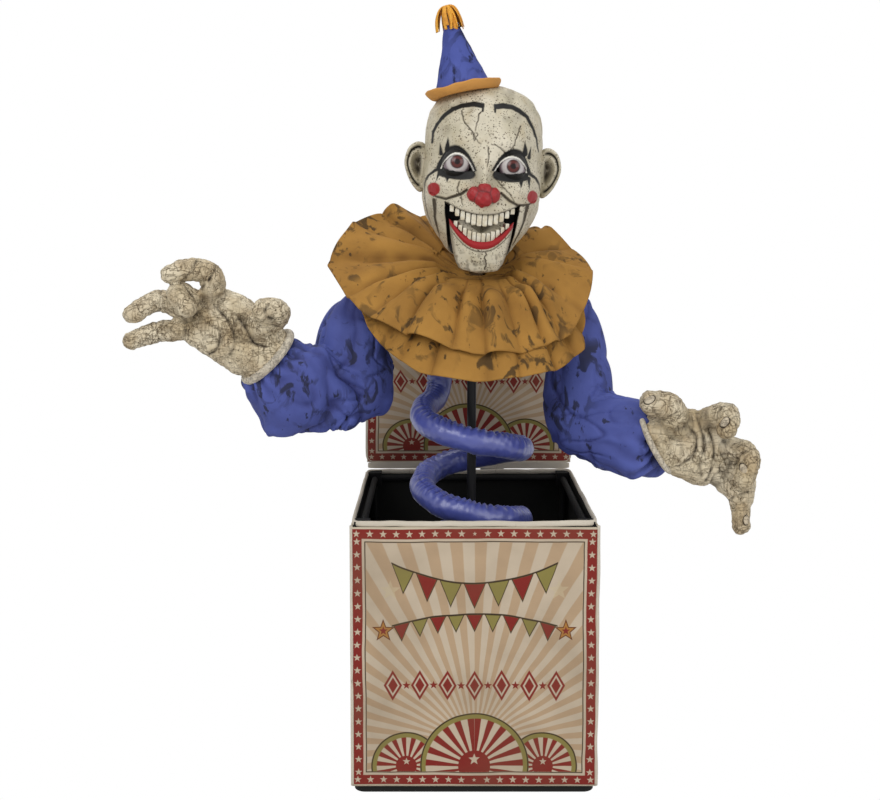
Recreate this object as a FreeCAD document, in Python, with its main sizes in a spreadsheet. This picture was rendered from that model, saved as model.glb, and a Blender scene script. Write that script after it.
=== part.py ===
"""Jack in the box: a clown head, collar and arms on a pole that rises out of an open fabric box.

Millimetres. +Z is up, the figure faces -Y, and the origin is the middle of the base's underside.
"""
import FreeCAD, Part
import Sketcher
import math
import os
from FreeCAD import Vector, Placement, Rotation

doc = FreeCAD.newDocument("jack_in_the_box")
sheet = doc.addObject("Spreadsheet::Sheet", "sizes")

SIZES = (
    # box and frame
    ("box_width", 350.0),
    ("box_depth", 350.0),
    ("rim_height", 395.0),
    ("panel_thick", 5.0),
    ("base_thick", 10.0),
    ("base_inset", 3.0),
    ("base_corner", 16.0),
    ("binding_height", 9.0),
    ("rail_dia", 10.0),
    ("connector_side", 22.0),
    ("socket_depth", 5.5),
    # pole and its flange
    ("pole_dia", 14.0),
    ("pole_bore", 10.5),
    ("pole_split", 250.0),
    ("spigot_length", 50.0),
    ("pole_top", 671.0),
    ("flange_dia", 96.0),
    ("flange_thick", 5.0),
    ("hub_dia", 26.0),
    ("hub_height", 45.0),
    ("screw_circle", 72.0),
    ("screw_dia", 4.0),
    ("screw_head_dia", 8.0),
    ("screw_head", 2.6),
    ("screw_bite", 6.0),
    # satin coil and the plate it hangs from
    ("coil_radius", 76.0),
    ("coil_tube", 38.0),
    ("coil_turns", 4.0),
    ("coil_bend", 34.0),
    ("coil_top_angle", 150.0),
    ("plate_height", 600.0),
    ("plate_thick", 4.0),
    ("plate_dia", 192.0),
    # sector gear, pinion and housing
    ("gear_module", 1.5),
    ("gear_teeth", 48.0),
    ("pinion_teeth", 16.0),
    ("gear_width", 8.0),
    ("gear_backlash", 0.3),
    ("gear_span", 84.0),
    ("gear_lift", 6.0),
    ("running_gap", 0.05),
    ("thrust_gap", 0.2),
    ("bush_flange", 1.8),
    ("bush_dia", 22.0),
    ("floor_thick", 3.0),
    ("housing_width", 150.0),
    ("housing_front", 45.0),
    ("housing_back", 78.0),
    ("housing_height", 52.0),
    ("housing_wall", 2.5),
    ("motor_dia", 34.0),
    ("motor_height", 46.0),
    ("shaft_dia", 5.0),
    # shoulders and neck
    ("bar_dia", 16.0),
    ("bar_lift", 14.0),
    ("bar_reach", 138.0),
    ("clamp_side", 26.0),
    ("clamp_place", 48.0),
    ("pin_reach", 155.0),
    ("pin_dia", 6.0),
    ("clevis_height", 20.0),
    ("clevis_width", 21.0),
    ("clevis_slot", 10.8),
    ("eye_dia", 18.0),
    ("eye_width", 10.0),
    ("arm_rod_dia", 8.0),
    ("tee_side", 38.0),
    ("tee_height", 46.0),
    ("neck_x", 9.0),
    ("neck_height", 770.0),
    ("head_roll", 3.0),
    ("neck_dia", 20.0),
    # head
    ("head_wall", 5.0),
    ("jaw_gap", 2.6),
    ("jaw_pin_dia", 6.0),
    ("jaw_pin_y", 2.0),
    ("jaw_pin_z", 78.0),
    ("eyeball_dia", 36.0),
    ("eye_spread", 40.0),
    ("eye_height", 126.0),
    ("hat_base_dia", 78.0),
    ("hat_height", 112.0),
    ("hat_wall", 3.0),
    ("hat_lean", 14.0),
    ("brim_tube", 17.0),
    # cloth
    ("cloth_thick", 4.0),
    ("collar_pleats", 22.0),
    ("collar_neck", 68.0),
    ("collar_wave", 8.0),
    ("yoke_half", 86.0),
    # lid
    ("lid_tilt", 10.0),
    ("lid_panel_thick", 4.0),
    ("lid_board_thick", 3.0),
    ("hinge_radius", 4.5),
    ("hinge_leaf", 1.5),
    ("hinge_pin_dia", 3.0),
    ("hinge_half", 60.0),
    ("knuckle_half", 20.0),
)
for row, (alias, value) in enumerate(SIZES, start=1):
    sheet.set("A%d" % row, alias)
    sheet.set("B%d" % row, str(value))
    sheet.setAlias("B%d" % row, alias)
doc.recompute()

NODES = []


def size(alias):
    return float(sheet.get(alias))


def worth(rule):
    """Number that a rule written on the sheet's names comes to now."""
    return float(sheet.evalExpression(rule.replace("sizes.", "")))


def keep(obj, label):
    """Name a finished sub-part and list it for writing out."""
    obj.Label = label
    NODES.append(obj)
    return obj


def at(obj, x="0", y="0", z="0"):
    obj.setExpression("Placement.Base.x", x)
    obj.setExpression("Placement.Base.y", y)
    obj.setExpression("Placement.Base.z", z)
    return obj


def block(name, length, width, height, x, y, z):
    """Upright box from its low corner, every size a rule on the sheet."""
    obj = doc.addObject("Part::Box", name)
    obj.setExpression("Length", length)
    obj.setExpression("Width", width)
    obj.setExpression("Height", height)
    return at(obj, x, y, z)


def round_bar(name, diameter, height, x, y, z, turn=None):
    """Cylinder from the middle of its end face, along Z unless turned."""
    obj = doc.addObject("Part::Cylinder", name)
    obj.setExpression("Radius", "(%s) / 2" % diameter)
    obj.setExpression("Height", height)
    if turn is not None:
        obj.Placement = Placement(Vector(0, 0, 0), turn)
    return at(obj, x, y, z)


ALONG_X = Rotation(Vector(0, 1, 0), 90)
ALONG_Y = Rotation(Vector(1, 0, 0), -90)


def minus(name, base, *tools):
    """Base with each tool cut away in turn."""
    for index, tool in enumerate(tools):
        cut = doc.addObject("Part::Cut", "%s_cut%d" % (name, index))
        cut.Base = base
        cut.Tool = tool
        base = cut
    return base


def joined(name, *pieces):
    fuse = doc.addObject("Part::MultiFuse", name)
    fuse.Shapes = list(pieces)
    fuse.Refine = True
    return fuse


def group(name, *pieces):
    both = doc.addObject("Part::Compound", name)
    both.Links = list(pieces)
    return both


def own_plane(body, role):
    return [item for item in body.Origin.OriginFeatures if item.Role == role][0]


def outline(body, name, role, corners):
    """Closed sketch whose corners are held from the origin by rules on the sheet."""
    sketch = body.newObject("Sketcher::SketchObject", name)
    sketch.AttachmentSupport = [(own_plane(body, role), "")]
    sketch.MapMode = "FlatFace"
    points = [Vector(worth(across), worth(along), 0) for across, along in corners]
    count = len(points)
    for index in range(count):
        sketch.addGeometry(Part.LineSegment(points[index], points[(index + 1) % count]), False)
    for index in range(count):
        sketch.addConstraint(Sketcher.Constraint("Coincident", index, 2, (index + 1) % count, 1))
    for index, (across, along) in enumerate(corners):
        held = sketch.addConstraint(Sketcher.Constraint("DistanceX", -1, 1, index, 1, points[index].x))
        sketch.setExpression("Constraints[%d]" % held, across)
        held = sketch.addConstraint(Sketcher.Constraint("DistanceY", -1, 1, index, 1, points[index].y))
        sketch.setExpression("Constraints[%d]" % held, along)
    return sketch


def rings(body, name, role, holes):
    """Sketch of circles, each centre and radius a rule on the sheet."""
    sketch = body.newObject("Sketcher::SketchObject", name)
    sketch.AttachmentSupport = [(own_plane(body, role), "")]
    sketch.MapMode = "FlatFace"
    for index, (across, along, radius) in enumerate(holes):
        centre = Vector(worth(across), worth(along), 0)
        sketch.addGeometry(Part.Circle(centre, Vector(0, 0, 1), worth(radius)), False)
        held = sketch.addConstraint(Sketcher.Constraint("DistanceX", -1, 1, index, 3, centre.x))
        sketch.setExpression("Constraints[%d]" % held, across)
        held = sketch.addConstraint(Sketcher.Constraint("DistanceY", -1, 1, index, 3, centre.y))
        sketch.setExpression("Constraints[%d]" % held, along)
        held = sketch.addConstraint(Sketcher.Constraint("Radius", index, worth(radius)))
        sketch.setExpression("Constraints[%d]" % held, radius)
    return sketch


def turned(label, corners):
    """Body of revolution about its own Z from a half outline of (radius, height) corners."""
    body = doc.addObject("PartDesign::Body", label)
    sketch = outline(body, label + "_half", "XZ_Plane", corners)
    spin = body.newObject("PartDesign::Revolution", label + "_turn")
    spin.Profile = sketch
    spin.ReferenceAxis = (sketch, ["V_Axis"])
    spin.Angle = 360
    return body


def form(label, shape, place=None):
    """Sub-part of free form: its faces are worked out here from the sheet's sizes."""
    obj = doc.addObject("Part::Feature", label)
    obj.Shape = shape
    if place is not None:
        obj.Placement = place.multiply(obj.Placement)
    return keep(obj, label)


def oval(centre, across, along, half_across, low, high, squareness=0.76):
    """Closed wire of four arcs: half_across either way, low and high the other way."""
    def spot(u, v):
        return centre + across * u + along * v
    right = spot(half_across, 0)
    left = spot(-half_across, 0)
    top = spot(0, high)
    bottom = spot(0, -low)
    arcs = (
        (right, spot(half_across * squareness, high * squareness), top),
        (top, spot(-half_across * squareness, high * squareness), left),
        (left, spot(-half_across * squareness, -low * squareness), bottom),
        (bottom, spot(half_across * squareness, -low * squareness), right),
    )
    return Part.Wire([Part.Arc(*three).toShape() for three in arcs])


def swept(points, radius, bend):
    """Round rod along straight runs joined by one bend radius."""
    edges = []
    start = points[0]
    for before, corner, after in zip(points, points[1:], points[2:]):
        back = (before - corner).normalize()
        forth = (after - corner).normalize()
        half = back.getAngle(forth) / 2
        run = bend / math.tan(half)
        enter = corner + back * run
        leave = corner + forth * run
        inward = (back + forth).normalize()
        middle = corner + inward * (bend / math.sin(half) - bend)
        edges.append(Part.LineSegment(start, enter).toShape())
        edges.append(Part.Arc(enter, middle, leave).toShape())
        start = leave
    edges.append(Part.LineSegment(start, points[-1]).toShape())
    path = Part.Wire(edges)
    first = (points[1] - points[0]).normalize()
    ring = Part.Wire([Part.Circle(points[0], first, radius).toShape()])
    return path.makePipeShell([ring], True, False)


# black base board with sockets for the corner posts and pilot holes for the flange screws
POST_X = "(sizes.box_width / 2 - sizes.panel_thick - sizes.connector_side / 2)"
POST_Y = "(sizes.box_depth / 2 - sizes.panel_thick - sizes.connector_side / 2)"
HALF_BASE_X = "(sizes.box_width / 2 - sizes.base_inset)"
HALF_BASE_Y = "(sizes.box_depth / 2 - sizes.base_inset)"
base = doc.addObject("PartDesign::Body", "base_board")
base_outline = outline(base, "base_outline", "XY_Plane", (
    ("-" + HALF_BASE_X, "-" + HALF_BASE_Y),
    (HALF_BASE_X, "-" + HALF_BASE_Y),
    (HALF_BASE_X, HALF_BASE_Y),
    ("-" + HALF_BASE_X, HALF_BASE_Y),
))
base_pad = base.newObject("PartDesign::Pad", "base_pad")
base_pad.Profile = base_outline
base_pad.setExpression("Length", "sizes.base_thick")
doc.recompute()
upright = []
for number, edge in enumerate(base_pad.Shape.Edges, start=1):
    if abs(edge.tangentAt(edge.FirstParameter).z) > 0.99:
        upright.append("Edge%d" % number)
base_round = base.newObject("PartDesign::Fillet", "base_round")
base_round.Base = (base_pad, upright)
base_round.setExpression("Radius", "sizes.base_corner")
SCREW_SPOT = "(sizes.screw_circle / 2 * sqrt(0.5))"
socket_rings = [(sx + POST_X, sy + POST_Y, "sizes.rail_dia / 2") for sx in ("", "-") for sy in ("", "-")]
pilot_rings = [(sx + SCREW_SPOT, sy + SCREW_SPOT, "sizes.screw_dia / 2") for sx in ("", "-") for sy in ("", "-")]
sunk = rings(base, "socket_rings", "XY_Plane", socket_rings + pilot_rings)
sunk.AttachmentOffset = Placement(Vector(0, 0, 0), Rotation())
sunk.setExpression("AttachmentOffset.Base.z", "sizes.base_thick")
socket = base.newObject("PartDesign::Pocket", "base_sockets")
socket.Profile = sunk
socket.setExpression("Length", "sizes.screw_bite")
keep(base, "base_board")

# pole flange, its screws, and the two lengths of pole
flange = turned("pole_flange", (
    ("sizes.pole_dia / 2", "0"),
    ("sizes.flange_dia / 2", "0"),
    ("sizes.flange_dia / 2", "sizes.flange_thick"),
    ("sizes.hub_dia / 2", "sizes.flange_thick"),
    ("sizes.hub_dia / 2", "sizes.hub_height"),
    ("sizes.pole_dia / 2", "sizes.hub_height"),
))
flange_hole = rings(flange, "flange_hole", "XY_Plane", ((SCREW_SPOT, SCREW_SPOT, "sizes.screw_dia / 2"),))
flange_drill = flange.newObject("PartDesign::Pocket", "flange_drill")
flange_drill.Profile = flange_hole
flange_drill.Reversed = True
flange_drill.setExpression("Length", "sizes.flange_thick")
flange_ring = flange.newObject("PartDesign::PolarPattern", "flange_ring")
flange_ring.Originals = [flange_drill]
flange_ring.Axis = (own_plane(flange, "Z_Axis"), [""])
flange_ring.Angle = 360
flange_ring.Occurrences = 4
flange.Tip = flange_ring
keep(at(flange, z="sizes.base_thick"), "pole_flange")

screws = []
for sx in ("", "-"):
    for sy in ("", "-"):
        tag = "screw_%d" % len(screws)
        shank = round_bar(tag + "_shank", "sizes.screw_dia", "sizes.screw_bite + sizes.flange_thick",
                          sx + SCREW_SPOT, sy + SCREW_SPOT, "sizes.base_thick - sizes.screw_bite")
        head = round_bar(tag + "_head", "sizes.screw_head_dia", "sizes.screw_head",
                         sx + SCREW_SPOT, sy + SCREW_SPOT, "sizes.base_thick + sizes.flange_thick")
        screws.append(joined(tag, shank, head))
keep(group("flange_screws", *screws), "flange_screws")

pole_outer = round_bar("lower_pole_outer", "sizes.pole_dia", "sizes.pole_split - sizes.base_thick",
                       "0", "0", "sizes.base_thick")
pole_inner = round_bar("lower_pole_inner", "sizes.pole_bore", "sizes.pole_split - sizes.base_thick",
                       "0", "0", "sizes.base_thick")
keep(minus("lower_pole", pole_outer, pole_inner), "lower_pole")

keep(turned("upper_pole", (
    ("0", "sizes.pole_split - sizes.spigot_length"),
    ("sizes.pole_bore / 2", "sizes.pole_split - sizes.spigot_length"),
    ("sizes.pole_bore / 2", "sizes.pole_split"),
    ("sizes.pole_dia / 2", "sizes.pole_split"),
    ("sizes.pole_dia / 2", "sizes.pole_top"),
    ("0", "sizes.pole_top"),
)), "upper_pole")

# frame of posts, rails and corner connectors inside the cloth box
RAIL_Z = "(sizes.rim_height - 3 - sizes.connector_side / 2)"
posts = []
corners = []
for sx in ("", "-"):
    for sy in ("", "-"):
        tag = "%d" % len(posts)
        posts.append(round_bar("post_" + tag, "sizes.rail_dia",
                               RAIL_Z + " - sizes.base_thick + sizes.screw_bite"
                               " - sizes.connector_side / 2 + sizes.socket_depth",
                               sx + POST_X, sy + POST_Y, "sizes.base_thick - sizes.screw_bite"))
        cube = block("corner_cube_" + tag, "sizes.connector_side", "sizes.connector_side",
                     "sizes.connector_side", sx + POST_X + " - sizes.connector_side / 2",
                     sy + POST_Y + " - sizes.connector_side / 2", RAIL_Z + " - sizes.connector_side / 2")
        down = round_bar("corner_down_" + tag, "sizes.rail_dia", "sizes.socket_depth",
                         sx + POST_X, sy + POST_Y, RAIL_Z + " - sizes.connector_side / 2")
        side_x = sx + POST_X + (" - sizes.connector_side / 2" if sx == "" else
                                " + sizes.connector_side / 2 - sizes.socket_depth")
        side_y = sy + POST_Y + (" - sizes.connector_side / 2" if sy == "" else
                                " + sizes.connector_side / 2 - sizes.socket_depth")
        side = round_bar("corner_side_" + tag, "sizes.rail_dia", "sizes.socket_depth",
                         side_x, sy + POST_Y, RAIL_Z, ALONG_X)
        fore = round_bar("corner_fore_" + tag, "sizes.rail_dia", "sizes.socket_depth",
                         sx + POST_X, side_y, RAIL_Z, ALONG_Y)
        corners.append(minus("connector_" + tag, cube, down, side, fore))
keep(group("frame_posts", *posts), "frame_posts")
keep(group("corner_connectors", *corners), "corner_connectors")

RAIL_RUN_X = "(2 * (" + POST_X + " - sizes.connector_side / 2 + sizes.socket_depth))"
RAIL_RUN_Y = "(2 * (" + POST_Y + " - sizes.connector_side / 2 + sizes.socket_depth))"
rails = []
for sy in ("", "-"):
    rails.append(round_bar("rail_x%d" % len(rails), "sizes.rail_dia", RAIL_RUN_X,
                           "-" + RAIL_RUN_X + " / 2", sy + POST_Y, RAIL_Z, ALONG_X))
for sx in ("", "-"):
    rails.append(round_bar("rail_y%d" % len(rails), "sizes.rail_dia", RAIL_RUN_Y,
                           sx + POST_X, "-" + RAIL_RUN_Y + " / 2", RAIL_Z, ALONG_Y))
keep(group("top_rails", *rails), "top_rails")

# fabric panels: front and back reach the corners, the sides stand between them
PANEL_TALL = "sizes.rim_height - sizes.base_thick - sizes.binding_height"
INNER_Y = "(sizes.box_depth - 2 * sizes.panel_thick)"
keep(block("front_panel", "sizes.box_width", "sizes.panel_thick", PANEL_TALL,
           "-sizes.box_width / 2", "-sizes.box_depth / 2", "sizes.base_thick"), "front_panel")
keep(block("back_panel", "sizes.box_width", "sizes.panel_thick", PANEL_TALL,
           "-sizes.box_width / 2", "sizes.box_depth / 2 - sizes.panel_thick", "sizes.base_thick"), "back_panel")
keep(block("left_panel", "sizes.panel_thick", INNER_Y, PANEL_TALL,
           "-sizes.box_width / 2", "-" + INNER_Y + " / 2", "sizes.base_thick"), "left_panel")
keep(block("right_panel", "sizes.panel_thick", INNER_Y, PANEL_TALL,
           "sizes.box_width / 2 - sizes.panel_thick", "-" + INNER_Y + " / 2", "sizes.base_thick"), "right_panel")
rim_outer = block("rim_outer", "sizes.box_width", "sizes.box_depth", "sizes.binding_height",
                  "-sizes.box_width / 2", "-sizes.box_depth / 2", "sizes.rim_height - sizes.binding_height")
rim_inner = block("rim_inner", "sizes.box_width - 2 * sizes.panel_thick", INNER_Y, "sizes.binding_height",
                  "-sizes.box_width / 2 + sizes.panel_thick", "-" + INNER_Y + " / 2",
                  "sizes.rim_height - sizes.binding_height")
keep(minus("rim_binding", rim_outer, rim_inner), "rim_binding")

# barrel hinge behind the rim: fixed leaf with two knuckles, lid leaf with one, and the pin
HINGE_Y = "(sizes.box_depth / 2 + sizes.hinge_radius)"
HINGE_Z = "(sizes.rim_height + 3)"
hinge_place = Placement(Vector(0, worth(HINGE_Y), worth(HINGE_Z)), Rotation())


def knuckle(low, high, bore):
    """Hinge barrel along X between two places, bored for the pin."""
    barrel = Part.makeCylinder(size("hinge_radius"), high - low, Vector(low, 0, 0), Vector(1, 0, 0))
    hole = Part.makeCylinder(bore, high - low, Vector(low, 0, 0), Vector(1, 0, 0))
    return barrel, hole


def hinge_leaf(spans, bore, plate_y, plate_low, plate_high):
    """Flat leaf whose tabs run tangent into its knuckles."""
    half = size("hinge_half")
    thick = size("hinge_leaf")
    pieces = []
    holes = []
    lows = min(plate_low, plate_high)
    pieces.append(Part.makeBox(2 * half, thick, abs(plate_high - plate_low), Vector(-half, plate_y, lows)))
    near = plate_low if abs(plate_low) < abs(plate_high) else plate_high
    for low, high in spans:
        barrel, hole = knuckle(low, high, bore)
        tab = Part.makeBox(high - low, thick, abs(near), Vector(low, plate_y, min(0, near)))
        pieces.extend([barrel, tab])
        holes.append(hole)
    leaf = pieces[0].multiFuse(pieces[1:]).removeSplitter()
    for hole in holes:
        leaf = leaf.cut(hole)
    return leaf


knuckle_end = size("knuckle_half")
outer_spans = ((-size("hinge_half"), -knuckle_end), (knuckle_end, size("hinge_half")))
pin_radius = size("hinge_pin_dia") / 2
form("hinge_leaf", hinge_leaf(outer_spans, pin_radius, -size("hinge_radius"), -6.0, -34.0), hinge_place)
keep(round_bar("hinge_pin", "sizes.hinge_pin_dia", "2 * sizes.hinge_half",
               "-sizes.hinge_half", HINGE_Y, HINGE_Z, ALONG_X), "hinge_pin")

# lid: printed panel, stiffener and its hinge leaf, leaning back from the hinge line
lid_turn = Rotation(Vector(1, 0, 0), -size("lid_tilt"))
lid_place = Placement(hinge_place.Base, lid_turn)
LID_FOOT = "(sizes.hinge_radius + 1.5)"


def on_lid(obj):
    """Set a lid piece, drawn upright from the hinge line, at the lid's lean."""
    inner = obj.Placement
    obj.setExpression("Placement.Base.x", None)
    obj.setExpression("Placement.Base.y", None)
    obj.setExpression("Placement.Base.z", None)
    obj.Placement = lid_place.multiply(inner)
    return obj


doc.recompute()
lid_panel = block("lid_panel", "sizes.box_width", "sizes.lid_panel_thick", "sizes.box_depth",
                  "-sizes.box_width / 2", "-sizes.lid_panel_thick", LID_FOOT)
lid_board = block("lid_board", "sizes.box_width - 6", "sizes.lid_board_thick", "sizes.box_depth - 6",
                  "-sizes.box_width / 2 + 3", "0", LID_FOOT + " + 3")
doc.recompute()
keep(on_lid(lid_panel), "lid_panel")
keep(on_lid(lid_board), "lid_board")
inner_span = ((-knuckle_end + 0.3, knuckle_end - 0.3),)
form("lid_leaf", hinge_leaf(inner_span, pin_radius + size("running_gap"), size("lid_board_thick"), 9.0, 40.0),
     lid_place)

# satin coil: straight foot, bend, left-hand turns, bend, straight top under the plate
tube_radius = size("coil_tube") / 2
coil_radius = size("coil_radius")
bend = size("coil_bend")
straight = size("coil_tube")
turns = size("coil_turns")
foot_z = size("base_thick")
head_z = size("plate_height")
rise = (head_z - foot_z - 2 * straight - 2 * bend) / (turns * 2 * math.pi)


def coil_spot(angle, height):
    return Vector(coil_radius * math.cos(angle), coil_radius * math.sin(angle), height)


def coil_run(angle):
    """Unit direction of the tube going down, with the angle growing."""
    return Vector(-coil_radius * math.sin(angle), coil_radius * math.cos(angle), -rise).normalize()


def two_arcs(start, start_run, end, end_run):
    """Pair of arcs meeting smoothly, with a given place and direction at each end."""
    span = end - start
    both = start_run + end_run
    a = 2 * (1 - start_run.dot(end_run))
    b = 2 * span.dot(both)
    c = -span.dot(span)
    reach = -c / b if abs(a) < 1e-9 else (-b + math.sqrt(b * b - 4 * a * c)) / (2 * a)
    first_corner = start + start_run * reach
    last_corner = end - end_run * reach
    middle = (first_corner + last_corner) * 0.5
    middle_run = (last_corner - first_corner).normalize()
    edges = []
    for low, corner, high, run_low, run_high in (
            (start, first_corner, middle, start_run, middle_run),
            (middle, last_corner, end, middle_run, end_run)):
        half_cos = math.cos(run_low.getAngle(run_high) / 2)
        chord = (low + high) * 0.5
        edges.append(Part.Arc(low, chord + (corner - chord) * (half_cos / (1 + half_cos)), high).toShape())
    return edges


top_angle = math.radians(size("coil_top_angle"))
quarters = int(round(turns * 4))
down_run = Vector(0, 0, -1)
top_turn = coil_spot(top_angle, head_z - straight - bend)
top_run = coil_run(top_angle)
top_start = top_turn - Vector(top_run.x, top_run.y, 0).normalize() * bend + Vector(0, 0, bend)
coil_edges = [Part.LineSegment(Vector(top_start.x, top_start.y, head_z), top_start).toShape()]
coil_edges.extend(two_arcs(top_start, down_run, top_turn, top_run))
angle = top_angle
height = top_turn.z
for quarter in range(quarters):
    next_angle = angle + math.pi / 2
    next_height = height - rise * math.pi / 2
    coil_edges.extend(two_arcs(coil_spot(angle, height), coil_run(angle),
                               coil_spot(next_angle, next_height), coil_run(next_angle)))
    angle = next_angle
    height = next_height
last_spot = coil_spot(angle, height)
last_run = coil_run(angle)
foot_start = last_spot + Vector(last_run.x, last_run.y, 0).normalize() * bend - Vector(0, 0, bend)
coil_edges.extend(two_arcs(last_spot, last_run, foot_start, down_run))
coil_edges.append(Part.LineSegment(foot_start, Vector(foot_start.x, foot_start.y, foot_z)).toShape())
coil_hoop = Part.Circle(Vector(top_start.x, top_start.y, head_z), down_run, tube_radius).toShape()
coil_skin = [Part.Face(Part.Wire([coil_hoop]))]
for edge in coil_edges:
    if isinstance(edge.Curve, Part.Circle):
        turn = math.degrees(edge.LastParameter - edge.FirstParameter)
        coil_skin.append(coil_hoop.revolve(edge.Curve.Center, edge.Curve.Axis, turn))
        coil_hoop = coil_hoop.copy()
        coil_hoop.rotate(edge.Curve.Center, edge.Curve.Axis, turn)
    else:
        run = edge.Vertexes[-1].Point - edge.Vertexes[0].Point
        coil_skin.append(coil_hoop.extrude(run))
        coil_hoop = coil_hoop.copy()
        coil_hoop.translate(run)
coil_skin.append(Part.Face(Part.Wire([coil_hoop])))
coil_faces = [face for part in coil_skin for face in part.Faces]
coil_shell = Part.makeShell(coil_faces)
coil_shell.sewShape()
coil = Part.makeSolid(Part.Shell(coil_shell.Faces))
if coil.Volume < 0:
    coil.reverse()
beads = []
for edge in coil_edges:
    beads.extend(edge.discretize(Number=9)[:-1])
least = 1e9
for index, bead in enumerate(beads):
    for other in beads[index + 40:]:
        least = min(least, bead.distanceToPoint(other))
print("coil: least gap of the tube to itself %.1f mm" % (least - 2 * tube_radius))
form("satin_coil", coil)

# plate that holds the coil's top, and the sector gear on the pole above it
keep(at(turned("coil_plate", (
    ("sizes.pole_dia / 2", "0"),
    ("sizes.plate_dia / 2", "0"),
    ("sizes.plate_dia / 2", "sizes.plate_thick"),
    ("15", "sizes.plate_thick"),
    ("15", "sizes.plate_thick + sizes.gear_lift"),
    ("sizes.pole_dia / 2", "sizes.plate_thick + sizes.gear_lift"),
)), z="sizes.plate_height"), "coil_plate")

GEAR_Z = "(sizes.plate_height + sizes.plate_thick + sizes.gear_lift)"
FLOOR_Z = "(" + GEAR_Z + " + sizes.gear_width + sizes.thrust_gap + sizes.bush_flange)"
COVER_Z = "(" + FLOOR_Z + " + sizes.floor_thick)"
COVER_TOP = "(" + COVER_Z + " + sizes.housing_height)"
BAR_Z = "(" + COVER_TOP + " + sizes.bar_lift)"
PINION_Y = "(sizes.gear_module * (sizes.gear_teeth + sizes.pinion_teeth) / 2)"


def gear_tooth_half(teeth, radius):
    """Half angle of an involute tooth at a radius, thinned for backlash."""
    pitch = size("gear_module") * teeth / 2
    root = pitch * math.cos(math.radians(20))
    lean = math.acos(min(1.0, root / max(radius, root)))
    lean_pitch = math.radians(20)
    half = math.pi / (2 * teeth) - size("gear_backlash") / (4 * pitch)
    return half + (math.tan(lean_pitch) - lean_pitch) - (math.tan(lean) - lean)


def gear_teeth_points(teeth, middles):
    """Outline corners of the teeth standing at the given middle angles."""
    pitch = size("gear_module") * teeth / 2
    foot = pitch - 1.25 * size("gear_module")
    tip = pitch + 0.95 * size("gear_module")
    base_radius = pitch * math.cos(math.radians(20))
    low = max(foot, base_radius)
    steps = [foot] + [low + (tip - low) * share for share in (0.0, 0.35, 0.7, 1.0)]
    spots = []
    for middle in middles:
        for radius in steps:
            spots.append((radius, middle - gear_tooth_half(teeth, radius)))
        for radius in reversed(steps):
            spots.append((radius, middle + gear_tooth_half(teeth, radius)))
    return [Vector(radius * math.cos(a), radius * math.sin(a), 0) for radius, a in spots]


def distinct(points):
    """Corners without repeats."""
    kept = [points[0]]
    for point in points[1:]:
        if point.distanceToPoint(kept[-1]) > 1e-4:
            kept.append(point)
    return kept


width = size("gear_width")
gear_count = int(round(size("gear_teeth")))
pinion_count = int(round(size("pinion_teeth")))
tooth_step = 2 * math.pi / gear_count
reach = int(math.radians(size("gear_span") / 2) / tooth_step)
middles = [math.pi / 2 + index * tooth_step for index in range(-reach, reach + 1)]
sector_points = distinct(gear_teeth_points(gear_count, middles))
sector_points = [Vector(0, 0, 0)] + sector_points
sector_points.append(Vector(0, 0, 0))
sector = Part.Face(Part.makePolygon(sector_points)).extrude(Vector(0, 0, width))
sector = sector.fuse(Part.makeCylinder(15, width)).removeSplitter()
sector = sector.cut(Part.makeCylinder(size("pole_dia") / 2, width))
form("sector_gear", sector, Placement(Vector(0, 0, worth(GEAR_Z)), Rotation()))

pinion_middles = [-math.pi / 2 + (index + 0.5) * 2 * math.pi / pinion_count for index in range(pinion_count)]
pinion_points = distinct(gear_teeth_points(pinion_count, pinion_middles))
pinion = Part.Face(Part.makePolygon(pinion_points + [pinion_points[0]])).extrude(Vector(0, 0, width))
pinion = pinion.fuse(Part.makeCylinder(size("shaft_dia") / 2, width + 20)).removeSplitter()
form("drive_pinion", pinion, Placement(Vector(0, worth(PINION_Y), worth(GEAR_Z)), Rotation()))

# torso: bush on the pole, housing, motor and boxes
keep(at(turned("pole_bush", (
    ("sizes.pole_dia / 2 + sizes.running_gap", "0"),
    ("sizes.bush_dia / 2 + 6", "0"),
    ("sizes.bush_dia / 2 + 6", "sizes.bush_flange"),
    ("sizes.bush_dia / 2", "sizes.bush_flange"),
    ("sizes.bush_dia / 2", "sizes.bush_flange + 48"),
    ("sizes.pole_dia / 2 + sizes.running_gap", "sizes.bush_flange + 48"),
)), z=FLOOR_Z + " - sizes.bush_flange"), "pole_bush")

floor_body = doc.addObject("PartDesign::Body", "housing_floor")
floor_outline = outline(floor_body, "floor_outline", "XY_Plane", (
    ("-sizes.housing_width / 2", "-sizes.housing_front"),
    ("sizes.housing_width / 2", "-sizes.housing_front"),
    ("sizes.housing_width / 2", "sizes.housing_back"),
    ("-sizes.housing_width / 2", "sizes.housing_back"),
))
floor_pad = floor_body.newObject("PartDesign::Pad", "floor_pad")
floor_pad.Profile = floor_outline
floor_pad.setExpression("Length", "sizes.floor_thick")
floor_rings = rings(floor_body, "floor_rings", "XY_Plane", (
    ("0", "0", "sizes.bush_dia / 2"),
    ("0", PINION_Y, "sizes.shaft_dia / 2 + 1.5"),
))
floor_holes = floor_body.newObject("PartDesign::Pocket", "floor_holes")
floor_holes.Profile = floor_rings
floor_holes.Reversed = True
floor_holes.setExpression("Length", "sizes.floor_thick")
keep(at(floor_body, z=FLOOR_Z), "housing_floor")

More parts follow.
